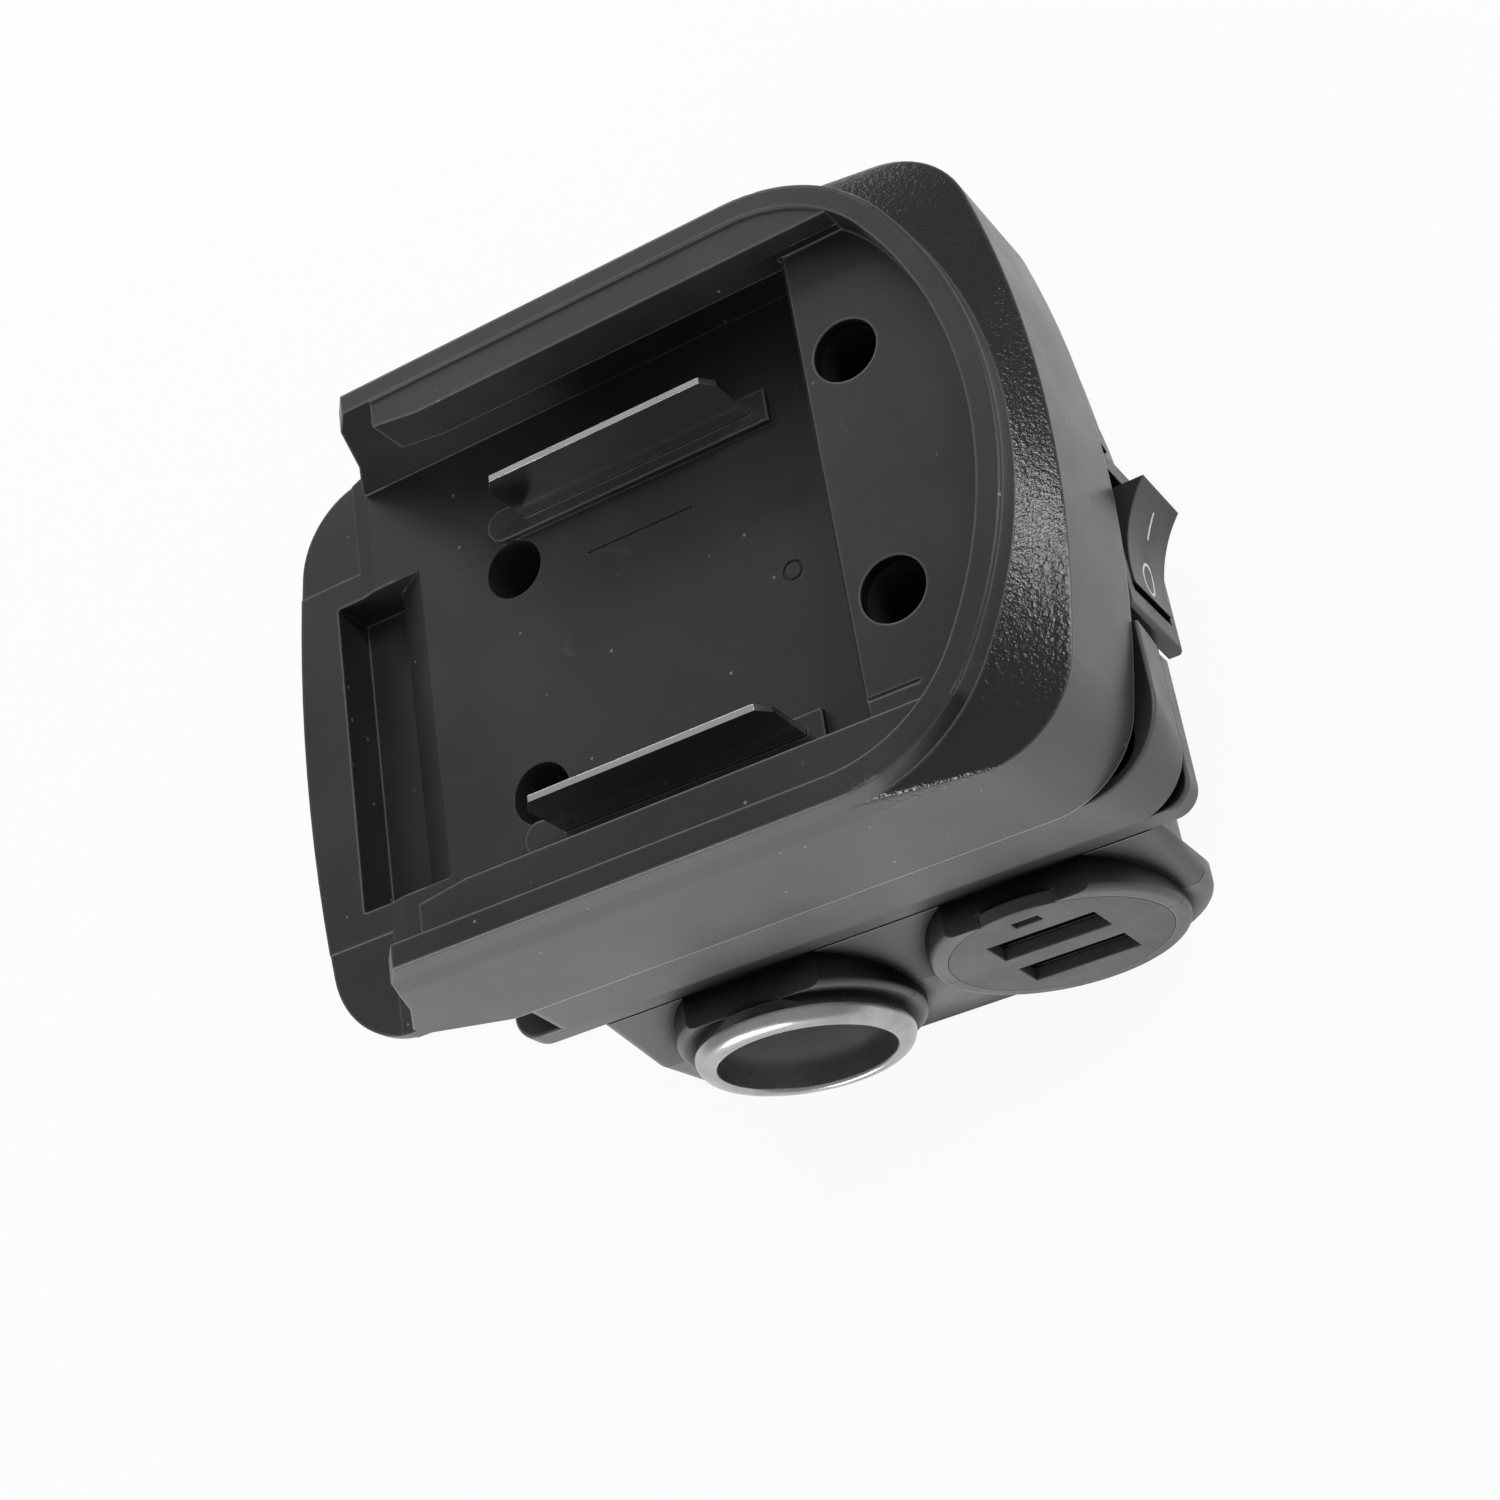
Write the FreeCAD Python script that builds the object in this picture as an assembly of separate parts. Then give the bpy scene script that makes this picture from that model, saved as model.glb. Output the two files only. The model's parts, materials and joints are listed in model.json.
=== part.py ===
# Battery adapter: a slide-on dock for a flat tool battery, with a 12 V socket,
# a double USB panel and a rocker switch on the body behind it.
#
# X runs along the rails, from the open tongue end (-X) to the closed round end (+X).
# Y runs across, and both sockets open towards -Y. Z runs up from the flat back that
# the adapter rests on to the rails of the dock. The origin is on the back face, below
# the middle of the dock. All sizes are in millimetres.

import FreeCAD, Part
import math
import os

V = FreeCAD.Vector
X_AXIS = V(1, 0, 0)
Y_AXIS = V(0, 1, 0)
Z_AXIS = V(0, 0, 1)

# Clearances: the least length that counts as a gap, and how far a cut runs past its work
end_gap = 0.05
over = 1.0

# Heights, stacked from the back face up
body_depth = 30.0
flange_t = 4.3
flange_plate_t = 3.2
mid_h = 7.5
skirt_drop = 6.2
rail_h = 16.0
socket_z = 17.9

flange_z = body_depth
mid_z = flange_z + flange_t
dock_z = mid_z + mid_h
floor_z = dock_z + skirt_drop
rim_z = floor_z + rail_h

# Dock plan: skirt, rim and tongue
skirt_half_w = 37.5
skirt_end_x = 52.4
skirt_corner_r = 11.5
skirt_crown_r = 122.0
band_h = 10.0
rim_draft = 0.2
rim_half_w = skirt_half_w - rim_draft
rim_set_back = 3.4
rim_end_x = skirt_end_x - rim_set_back
rim_corner_r = 21.1
rim_crown_r = 51.0
rim_wall_t = 2.8
rim_face_h = 3.2
rim_cap_drop = 0.4
tongue_end_x = -52.1
tongue_corner_r = 11.5
tongue_crown_r = 230.0
tongue_drop = 0.5
tongue_bend_x = -40.4
tongue_bend_run = 1.2
wall_end_top_x = -30.3
wall_end_bend_x = -32.9
wall_end_bend_drop = 3.0
wall_end_low_x = -35.9
wall_end_low_h = 5.6
wall_end_floor_x = -39.7
skirt_rise_x = -29.4
skirt_rise_end_x = -38.4
skirt_rise_h = 4.4
dock_wall_t = 2.4
floor_t = 2.4

# Rails: the lips that the battery slides under
lip_half_gap = 30.1
lip_h = 5.9
lip_end_x = -26.5
lip_lead_x = -20.2
lip_lead_y = 0.9

# Raised platform at the closed end
platform_x = 27.0
platform_h = 11.6
platform_bevel = 0.5

# Latch pocket in the tongue
pocket_x0 = -45.4
pocket_x1 = -32.4
pocket_half_w = 20.7
pocket_depth = 6.5
pocket_ramp_run = 4.8
pocket_ramp_drop = 3.0
pocket_heel_run = 2.0
pocket_corner_r = 0.4
pocket_wall_t = 1.8

# Screw wells that join the dock to the body
well_r = 3.8
well_wall_t = 1.2
well_half_pitch = 15.0
well_x_near = -19.0
well_x_far = 32.5
well_seat_t = 2.2
screw_r = 1.45
screw_hole_r = 1.6
screw_head_r = 2.8
screw_head_h = 2.0
screw_slot_w = 0.8
screw_slot_len = 3.2
screw_slot_d = 1.0
screw_len = 10.0
pilot_clear = 0.05

# Battery contact blades and the pads that they stand in
blade_half_pitch = 20.85
blade_x0 = -16.0
blade_len = 31.3
blade_h = 10.2
blade_t = 0.8
blade_chamfer = 1.9
blade_chamfer_run = 1.3
blade_root = 3.6
blade_slot_clear = 0.05
pad_x0 = -21.4
pad_len = 38.9
pad_w = 4.2
pad_h = 1.0
tab_len = 5.0
tab_drop = 4.2

# Fine marks left on the mouldings
mark_w = 0.35
mark_d = 0.25
rib_mark_x = -8.8
rib_mark_len = 14.5
rib_mark_y = 12.7
ejector_x = 16.7
ejector_y = -0.7
ejector_r = 1.3
tongue_seam_y = 24.3
tongue_step = 0.15
platform_seam_y = 26.0
platform_seam_len = 6.5

# Middle shell and flange: their ends are straight towards -Y and crowned towards +Y
mid_x0 = skirt_rise_x
mid_low_set_back = 1.55
mid_top_set_back = 0.9
mid_low_x1 = skirt_end_x - mid_low_set_back
mid_top_x1 = skirt_end_x - mid_top_set_back
mid_bulge = 0.1
mid_top_draft = 0.5
mid_low_half_w = skirt_half_w + mid_bulge
mid_top_half_w = skirt_half_w - mid_top_draft
mid_low_corner_r = 6.8
mid_top_corner_r = 10.3
mid_back_r = 2.0
mid_wall_t = 2.4
straight_crown_r = 4000.0
flange_x0 = -35.7
flange_set_back = 2.0
flange_x1 = skirt_end_x - flange_set_back
flange_draft = 0.7
flange_half_w = skirt_half_w - flange_draft
flange_corner_r = 3.0
flange_far_corner_r = 8.0
flange_far_crown_r = 70.0
flange_back_r = 3.5
plinth_inset = 1.0

# Socket body, in two halves that meet at the socket axes
body_x0 = -26.0
body_set_back = 9.9
body_x1 = skirt_end_x - body_set_back
body_edge_r = 8.0
body_round_r = 16.5
body_bulge = 1.7
body_top_draft = 2.4
body_back_draft = 1.0
body_seam_half_w = skirt_half_w + body_bulge
body_top_half_w = body_seam_half_w - body_top_draft
body_back_half_w = body_seam_half_w - body_back_draft
body_wall_t = 2.4
cheek_t = 2.9
cheek_slant_w = 3.3
collar_r = 14.9
collar_proud = 1.7
collar_face_y = -body_seam_half_w - collar_proud
collar_depth = 6.5
saddle_t = 2.0
saddle_margin = 2.0
boss_r = 3.4
boss_reach = 7.0
body_screw_inset_x = 6.5
body_screw_inset_y = 7.2
body_screw_y = body_seam_half_w - body_screw_inset_y
body_screw_mid_x = 10.7
body_screw_len = 22.0
body_screw_head_depth = 2.6
pilot_spare = 0.8
body_edge_fillet = 1.6
collar_edge_r = 0.8
flange_edge_r = 0.5
mid_edge_r = 0.4
rim_edge_r = 0.6
skirt_edge_r = 0.3

# Twelve volt socket
socket_x = -6.0
barrel_bore_r = 10.6
barrel_t = 0.7
barrel_neck_r = 9.8
barrel_neck_y = -8.0
barrel_back_y = -2.0
rim_front = 3.35
rim_lip_r = 0.6
rim_round_r = 1.9
rim_seat_r = 12.6
fit_clear = 0.1
insulator_flange_y = 6.0
insulator_front_y = -5.0
contact_r = 3.0
contact_stem_r = 1.5
contact_nose = 2.6
contact_clear = 0.05
terminal_t = 0.8
terminal_w = 6.3
terminal_len = 4.5
ground_tab_grip = 8.0

# USB panel, ports and board
usb_x = 27.3
panel_r = 12.84
panel_t = 1.6
panel_seat_r = 11.2
panel_clear = 0.06
port_w = 13.1
port_h = 5.2
port_z_near = 3.45
port_z_far = -5.2
port_len = 13.6
port_wall_t = 0.35
tongue_w = 11.2
tongue_t = 1.9
tongue_len = 10.5
pin_w = 1.0
pin_t = 0.25
pin_pitch = 2.3
pin_count = 4
window_w = 3.3
window_h = 1.6
window_z = 9.45
led_r = 1.5
led_len = 4.6
led_leg_r = 0.25
led_leg_pitch = 1.27
led_nose_r = 0.9
board_t = 1.6
usb_board_w = 18.0
usb_board_h = 21.0

# Rocker switch
switch_y = -6.4
switch_z = 34.2
switch_bay_x = 49.6
switch_bay_y0 = -19.0
switch_bay_y1 = 6.0
bezel_t = 1.8
bezel_h = 21.0
bezel_w = 15.0
bezel_edge_r = 0.6
switch_body_h = 18.8
switch_body_w = 12.8
switch_body_depth = 11.7
switch_cut_clear = 0.1
rocker_window_h = 15.9
rocker_window_w = 10.9
rocker_w = 10.4
rocker_half_len = 6.25
rocker_crest = 3.8
rocker_dish = 1.24
rocker_skirt = 2.5
rocker_taper_deg = 18.0
rocker_pivot_below = 1.55
rocker_tilt_deg = 17.0
trunnion_r = 1.2
trunnion_clear = 0.06
trunnion_len = 0.8
plunger_r = 1.2
plunger_len = 4.4
plunger_gap = 0.1
plunger_bore_top = 1.2
plunger_clear = 0.06
plunger_guide_h = 3.6
plunger_guide_t = 0.8
plunger_coil_r = 0.85
plunger_coil_wire_r = 0.18
plunger_coil_turns = 5
lever_below = 8.4
lever_len = 10.4
lever_w = 4.0
lever_t = 0.8
lever_tilt_deg = 7.0
lever_pin_r = 0.7
lever_pad_r = 1.0
lever_pad_t = 0.5
switch_floor_t = 1.5
switch_tab_w = 4.8
switch_tab_len = 8.0
fixed_contact_y = -3.0
lever_pin_spare = 1.0
lever_cup_gap = 0.35
lever_cup_t = 0.65
lever_cup_w = 2.6
lever_cup_x0 = 0.92
lever_cup_x1 = 0.5
lever_bridge_gap = 0.3

# Converter board in the body, behind the socket barrel
board_x0 = -19.0
board_x1 = 30.0
board_y0 = 11.0
board_boss_clear = 0.3
board_y1 = body_screw_y - boss_r - board_boss_clear
board_standoff = 5.0
standoff_r = 2.2
standoff_inset = 3.0
inductor_w = 12.0
inductor_h = 6.5
inductor_core_r = 5.2
inductor_dish = 0.6
inductor_corner_r = 2.0
cap_r = 4.0
cap_h = 11.0
cap_pitch = 9.5
cap_edge_r = 0.6
part_gap = 1.0
chip_w = 6.0
chip_l = 5.0
chip_h = 1.6
chip_pitch = 8.0
fuse_t = 4.0
fuse_w = 8.5
fuse_h = 8.0
fuse_x = 14.6
fuse_corner_r = 0.8

# Wiring
wire_r = 0.9
wire_bend = 0.45

NODES = {}


# Helpers

def box(x0, x1, y0, y1, z0, z1):
    return Part.makeBox(x1 - x0, y1 - y0, z1 - z0, V(x0, y0, z0))


def rod(r, length, base, direction):
    return Part.makeCylinder(r, length, base, direction)


def fuse(first, *others):
    return first.fuse(list(others)).removeSplitter()


def prism(points, direction):
    return Part.Face(Part.makePolygon(points + [points[0]])).extrude(direction)


def arc(a, m, b):
    return Part.Arc(a, m, b).toShape()


def line(a, b):
    return Part.makeLine(a, b)


def save(name, shape):
    NODES[name] = shape


# A round corner at +X on the +Y side, between a straight side and a crowned end
def end_corner(x1, half_w, corner_r, crown_r, z):
    crown_x = x1 - crown_r
    corner_y = half_w - corner_r
    corner_x = crown_x + math.sqrt((crown_r - corner_r) ** 2 - corner_y ** 2)
    turn = math.atan2(corner_y, corner_x - crown_x)
    half = (turn + math.pi / 2) / 2
    side = V(corner_x, half_w, z)
    bend = V(corner_x + corner_r * math.cos(half), corner_y + corner_r * math.sin(half), z)
    meet = V(crown_x + crown_r * math.cos(turn), crown_r * math.sin(turn), z)
    crest = V(crown_x + crown_r * math.cos(turn / 2), crown_r * math.sin(turn / 2), z)
    return side, bend, meet, crest


def flip(p):
    return V(p.x, -p.y, p.z)


# An outline with a crowned, round-cornered end at +X and a square end at -X
def crowned_wire(x0, x1, half_w, corner_r, crown_r, z):
    side, bend, meet, crest = end_corner(x1, half_w, corner_r, crown_r, z)
    back = V(x0, half_w, z)
    return Part.Wire([
        line(flip(back), flip(side)),
        arc(flip(side), flip(bend), flip(meet)),
        arc(flip(meet), V(x1, 0, z), meet),
        arc(meet, bend, side),
        line(side, back),
        line(back, flip(back)),
    ])


def crowned_prism(x0, x1, half_w, corner_r, crown_r, z0, z1):
    wire = crowned_wire(x0, x1, half_w, corner_r, crown_r, z0)
    return Part.Face(wire).extrude(V(0, 0, z1 - z0))


# The same with round corners at -X, and its own corner and crown on each side of the middle
def two_sided_wire(x0, x1, half_w, back_r, near, far, z):
    near_side, near_bend, near_meet, near_crest = end_corner(x1, half_w, near[0], near[1], z)
    far_side, far_bend, far_meet, far_crest = end_corner(x1, half_w, far[0], far[1], z)
    tip = V(x1, 0, z)
    back_side = V(x0 + back_r, half_w, z)
    back_end = V(x0, half_w - back_r, z)
    short = back_r * (1 - math.sqrt(0.5))
    back_bend = V(x0 + short, half_w - short, z)
    return Part.Wire([
        line(flip(back_side), flip(near_side)),
        arc(flip(near_side), flip(near_bend), flip(near_meet)),
        arc(flip(near_meet), flip(near_crest), tip),
        arc(tip, far_crest, far_meet),
        arc(far_meet, far_bend, far_side),
        line(far_side, back_side),
        arc(back_side, back_bend, back_end),
        line(back_end, flip(back_end)),
        arc(flip(back_end), flip(back_bend), flip(back_side)),
    ])


def upright(edge):
    a = edge.Vertexes[0].Point
    b = edge.Vertexes[-1].Point
    return abs(a.x - b.x) < end_gap and abs(a.y - b.y) < end_gap and abs(a.z - b.z) > end_gap


# A cross-head screw seated at a height, whose tip points up (1) or down (-1)
def screw(x, y, z_seat, length, tip):
    head = rod(screw_head_r, screw_head_h, V(x, y, z_seat), Z_AXIS * -tip)
    shank = rod(screw_r, length, V(x, y, z_seat), Z_AXIS * tip)
    z_face = z_seat - tip * screw_head_h
    z0 = z_face - screw_slot_d
    z1 = z_face + screw_slot_d
    half = screw_slot_w / 2
    arm = screw_slot_len / 2
    cross = fuse(box(x - arm, x + arm, y - half, y + half, z0, z1),
                 box(x - half, x + half, y - arm, y + arm, z0, z1))
    return fuse(head, shank).cut(cross)


# A wire along straight runs joined by tangent arcs
def wire(points):
    runs = [points[i + 1] - points[i] for i in range(len(points) - 1)]
    edges = []
    start = points[0]
    for i in range(1, len(points) - 1):
        a = runs[i - 1]
        b = runs[i]
        turn = a.getAngle(b)
        inset = wire_bend * min(a.Length, b.Length)
        before = points[i] - a.normalize() * inset
        after = points[i] + V(b).normalize() * inset
        r = inset / math.tan(turn / 2)
        to_centre = (before + after) * 0.5 - points[i]
        reach = math.hypot(inset, r)
        middle = points[i] + to_centre.normalize() * (reach - r)
        edges.append(line(start, before))
        edges.append(arc(before, middle, after))
        start = after
    edges.append(line(start, points[-1]))
    path = Part.Wire(edges)
    way = points[1] - points[0]
    ring = Part.Wire(Part.makeCircle(wire_r, points[0], way))
    return path.makePipeShell([ring], True, False)


# A coil spring of a given length along a direction from a base point
def coil(base, direction, length, coil_r, wire_radius, turns):
    pitch = (length - 2 * wire_radius) / turns
    helix = Part.makeHelix(pitch, pitch * turns, coil_r)
    ring = Part.Wire(Part.makeCircle(wire_radius, V(coil_r, 0, 0), Y_AXIS))
    body = Part.Wire(helix.Edges).makePipeShell([ring], True, True)
    body.translate(V(0, 0, wire_radius))
    turn = FreeCAD.Rotation(Z_AXIS, direction)
    body.Placement = FreeCAD.Placement(base, turn).multiply(body.Placement)
    return body


# The dock shell

def dock_wells():
    return [(x, s * well_half_pitch) for x in (well_x_near, well_x_far) for s in (1, -1)]


def dock_floor_at(x):
    return floor_z + (platform_h if x > platform_x else 0)


def dock_outside():
    band_z = floor_z + band_h
    cap_z = rim_z - rim_face_h
    skirt = crowned_prism(tongue_bend_x, skirt_end_x, skirt_half_w, skirt_corner_r,
                          skirt_crown_r, dock_z, band_z)
    low = crowned_wire(tongue_bend_x, skirt_end_x, skirt_half_w, skirt_corner_r,
                       skirt_crown_r, band_z)
    high = crowned_wire(tongue_bend_x, rim_end_x, rim_half_w, rim_corner_r, rim_crown_r, cap_z)
    shoulder = Part.makeLoft([low, high], True, True)
    rim = crowned_prism(tongue_bend_x, rim_end_x, rim_half_w, rim_corner_r, rim_crown_r,
                        cap_z, rim_z)
    outside = fuse(skirt, shoulder, rim)
    top_edges = [e for e in outside.Edges if e.BoundBox.ZMin > rim_z - end_gap]
    low_edges = [e for e in outside.Edges if e.BoundBox.ZMax < dock_z + end_gap]
    return outside.makeFillet(rim_edge_r, top_edges).makeFillet(skirt_edge_r, low_edges)


# The side walls end on a slant, and the skirt's lower edge rises below them
def dock_end_cut():
    reach = skirt_half_w + mid_h
    above = prism([
        V(wall_end_top_x, -reach, rim_z + end_gap),
        V(wall_end_bend_x, -reach, rim_z - wall_end_bend_drop),
        V(wall_end_low_x, -reach, floor_z + wall_end_low_h),
        V(wall_end_floor_x, -reach, floor_z),
        V(tongue_bend_x - reach, -reach, floor_z),
        V(tongue_bend_x - reach, -reach, rim_z + end_gap),
    ], V(0, 2 * reach, 0))
    below = prism([
        V(skirt_rise_x, -reach, dock_z),
        V(skirt_rise_end_x, -reach, dock_z + skirt_rise_h),
        V(tongue_bend_x - reach, -reach, dock_z + skirt_rise_h),
        V(tongue_bend_x - reach, -reach, dock_z - end_gap),
        V(skirt_rise_x, -reach, dock_z - end_gap),
    ], V(0, 2 * reach, 0))
    return above, below


def tongue_plate():
    top = floor_z
    under = dock_z + skirt_rise_h
    plate = crowned_prism(-tongue_bend_x - end_gap, -tongue_end_x, skirt_half_w,
                          tongue_corner_r, tongue_crown_r, under, top)
    plate = plate.mirror(V(0, 0, 0), X_AXIS)
    cut = prism([
        V(tongue_bend_x + tongue_bend_run, -skirt_half_w, top),
        V(tongue_bend_x - tongue_bend_run, -skirt_half_w, top - tongue_drop),
        V(tongue_end_x - over, -skirt_half_w, top - tongue_drop),
        V(tongue_end_x - over, -skirt_half_w, top + over),
        V(tongue_bend_x + tongue_bend_run, -skirt_half_w, top + over),
    ], V(0, 2 * skirt_half_w, 0))
    return plate, cut


def pocket_block(half, x0, x1, bottom, top, corner_r):
    block = box(x0, x1, -half, half, bottom, top)
    return block.makeFillet(corner_r, [e for e in block.Edges if upright(e)])


def pocket_walls():
    t = pocket_wall_t
    return pocket_block(pocket_half_w + t, pocket_x0 - t, pocket_x1 + t,
                        floor_z - pocket_depth - t, floor_z, pocket_corner_r + t)


def latch_pocket():
    bottom = floor_z - pocket_depth
    heel_x = pocket_x1 - pocket_ramp_run
    block = pocket_block(pocket_half_w, pocket_x0, pocket_x1, bottom, floor_z + over,
                         pocket_corner_r)
    ramp = prism([
        V(pocket_x1, -pocket_half_w, floor_z),
        V(pocket_x1, -pocket_half_w, bottom),
        V(heel_x - pocket_heel_run, -pocket_half_w, bottom),
        V(heel_x, -pocket_half_w, floor_z - pocket_ramp_drop),
    ], V(0, 2 * pocket_half_w, 0))
    return block.cut(ramp)


def blade_pads():
    pads = []
    for side in (1, -1):
        y = side * blade_half_pitch
        pad = box(pad_x0 + pad_w / 2, pad_x0 + pad_len, y - pad_w / 2, y + pad_w / 2,
                  floor_z, floor_z + pad_h)
        nose = rod(pad_w / 2, pad_h, V(pad_x0 + pad_w / 2, y, floor_z), Z_AXIS)
        pads.append(fuse(pad, nose))
    return pads


def blade_slots():
    slots = []
    for side in (1, -1):
        y = side * blade_half_pitch
        half = blade_t / 2 + blade_slot_clear
        slots.append(box(blade_x0 - blade_slot_clear, blade_x0 + blade_len + blade_slot_clear,
                         y - half, y + half, dock_z, floor_z + pad_h + over))
    return slots


def fine_marks():
    low = floor_z - mark_d
    high = floor_z + over
    marks = [box(rib_mark_x, rib_mark_x + rib_mark_len, rib_mark_y - mark_w / 2,
                 rib_mark_y + mark_w / 2, low, high)]
    ring = rod(ejector_r, high - low, V(ejector_x, ejector_y, low), Z_AXIS)
    core = rod(ejector_r - mark_w, high - low, V(ejector_x, ejector_y, low), Z_AXIS)
    marks.append(ring.cut(core))

    # The tongue's middle stands a little above its two sides
    step_z = floor_z - tongue_drop - tongue_step
    for y in (-skirt_half_w - over, tongue_seam_y):
        marks.append(box(tongue_end_x - over, tongue_bend_x - tongue_bend_run, y,
                         y + skirt_half_w + over - tongue_seam_y, step_z, high))
    top = floor_z + platform_h
    marks.append(box(platform_x + platform_bevel, platform_x + platform_seam_len,
                     -platform_seam_y - mark_w / 2, -platform_seam_y + mark_w / 2,
                     top - mark_d, top + mark_d))
    return marks


def dock_space():
    inner_half = rim_half_w - rim_wall_t
    inner_end = rim_end_x - rim_wall_t
    inner_r = rim_corner_r - rim_wall_t
    inner_crown = rim_crown_r - rim_wall_t
    far = tongue_end_x - 1
    cap = crowned_prism(far, inner_end, inner_half, inner_r, inner_crown,
                        rim_z - rim_cap_drop, rim_z + over)
    bowl = crowned_prism(far, inner_end, inner_half, inner_r, inner_crown,
                         floor_z + platform_h, rim_z + over)
    between = box(far, inner_end + over, -lip_half_gap, lip_half_gap, floor_z, rim_z + over)
    upper = bowl.common(between)
    lower = box(far, platform_x, -lip_half_gap, lip_half_gap, floor_z, rim_z + over)
    groove = box(far, platform_x, -inner_half, inner_half, floor_z, rim_z - rim_cap_drop - lip_h)
    cutters = [cap, upper, lower, groove]

    # Open ends of the lips, with a lead-in for the battery
    for side in (1, -1):
        y0 = min(side * lip_half_gap, side * inner_half)
        y1 = max(side * lip_half_gap, side * inner_half)
        cutters.append(box(far, lip_end_x, y0, y1, floor_z, rim_z + over))
        cutters.append(prism([
            V(lip_end_x - end_gap, side * (lip_half_gap - over), floor_z),
            V(lip_end_x - end_gap, side * (lip_half_gap + lip_lead_y), floor_z),
            V(lip_lead_x, side * lip_half_gap, floor_z),
            V(lip_lead_x, side * (lip_half_gap - over), floor_z),
        ], V(0, 0, rail_h + over)))

    # Bevel along the platform's edge
    top = floor_z + platform_h
    cutters.append(prism([
        V(platform_x - end_gap, -inner_half, top + end_gap),
        V(platform_x + platform_bevel, -inner_half, top + end_gap),
        V(platform_x - end_gap, -inner_half, top - platform_bevel),
    ], V(0, 2 * inner_half, 0)))
    return cutters


# The hollow below the floor, and the one below the platform
def dock_hollows():
    hollow = crowned_prism(skirt_rise_x + dock_wall_t, skirt_end_x - dock_wall_t,
                           skirt_half_w - dock_wall_t, skirt_corner_r - dock_wall_t,
                           skirt_crown_r - dock_wall_t, dock_z - over, floor_z - floor_t)
    attic_wall = rim_wall_t + dock_wall_t
    low = floor_z - floor_t - 1
    roof = floor_z + platform_h - floor_t
    attic = crowned_prism(0, rim_end_x - attic_wall, lip_half_gap, rim_corner_r - attic_wall,
                          rim_crown_r - attic_wall, low, roof)
    attic = attic.common(box(platform_x + floor_t, rim_end_x, -lip_half_gap, lip_half_gap,
                             low, roof))
    return [hollow, attic]


def dock_shell():
    plate, plate_cut = tongue_plate()
    shell = fuse(dock_outside().cut(list(dock_end_cut())), plate)
    for cutter in dock_space() + dock_hollows():
        shell = shell.cut(cutter)
    shell = fuse(shell, pocket_walls(), *blade_pads())
    shell = shell.cut(plate_cut)
    for x, y in dock_wells():
        tube = rod(well_r + well_wall_t, dock_floor_at(x) - mid_z - floor_t / 2,
                   V(x, y, mid_z), Z_AXIS)
        shell = fuse(shell, tube)
    for x, y in dock_wells():
        deep = rod(well_r, rim_z - mid_z, V(x, y, mid_z + well_seat_t), Z_AXIS)
        hole = rod(screw_hole_r, well_seat_t + 2 * over, V(x, y, mid_z - over), Z_AXIS)
        shell = shell.cut(fuse(deep, hole))
    shell = shell.cut(latch_pocket())
    for cutter in blade_slots() + fine_marks():
        shell = shell.cut(cutter)
    return shell


# Battery contact blades

def terminal(side):
    y = side * blade_half_pitch
    top = floor_z + blade_h
    x0 = blade_x0
    x1 = blade_x0 + blade_len
    low = floor_z - blade_root
    tab_x = x1 - tab_len
    profile = [
        V(x0, y - blade_t / 2, low),
        V(tab_x, y - blade_t / 2, low),
        V(tab_x, y - blade_t / 2, low - tab_drop),
        V(x1, y - blade_t / 2, low - tab_drop),
        V(x1, y - blade_t / 2, top - blade_chamfer),
        V(x1 - blade_chamfer_run, y - blade_t / 2, top),
        V(x0 + blade_chamfer_run, y - blade_t / 2, top),
        V(x0, y - blade_t / 2, top - blade_chamfer),
    ]
    return prism(profile, V(0, blade_t, 0))


# Middle shell

def round_rims(plate, r):
    flat = [e for e in plate.Edges if e.BoundBox.ZLength < end_gap]
    return plate.makeFillet(r, flat)


def mid_outline(inset, z):
    near = (mid_low_corner_r - inset, straight_crown_r)
    far = (skirt_corner_r - inset, skirt_crown_r - inset)
    back_r = max(mid_back_r - inset, mid_back_r / 2)
    return two_sided_wire(mid_x0 + inset, mid_low_x1 - inset, mid_low_half_w - inset, back_r,
                          near, far, z)


def mid_shell():
    near = (mid_top_corner_r, straight_crown_r)
    far = (skirt_corner_r, skirt_crown_r)
    top = two_sided_wire(mid_x0, mid_top_x1, mid_top_half_w, mid_back_r, near, far, dock_z)
    outer = Part.makeLoft([mid_outline(0, mid_z), top], True, True)
    outer = round_rims(outer, mid_edge_r)
    inner = Part.Face(mid_outline(mid_wall_t, mid_z - over)).extrude(V(0, 0, mid_h + 2 * over))
    shell = outer.cut(inner)
    for cutter in switch_ways():
        shell = shell.cut(cutter)
    return shell


# Socket body

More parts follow.
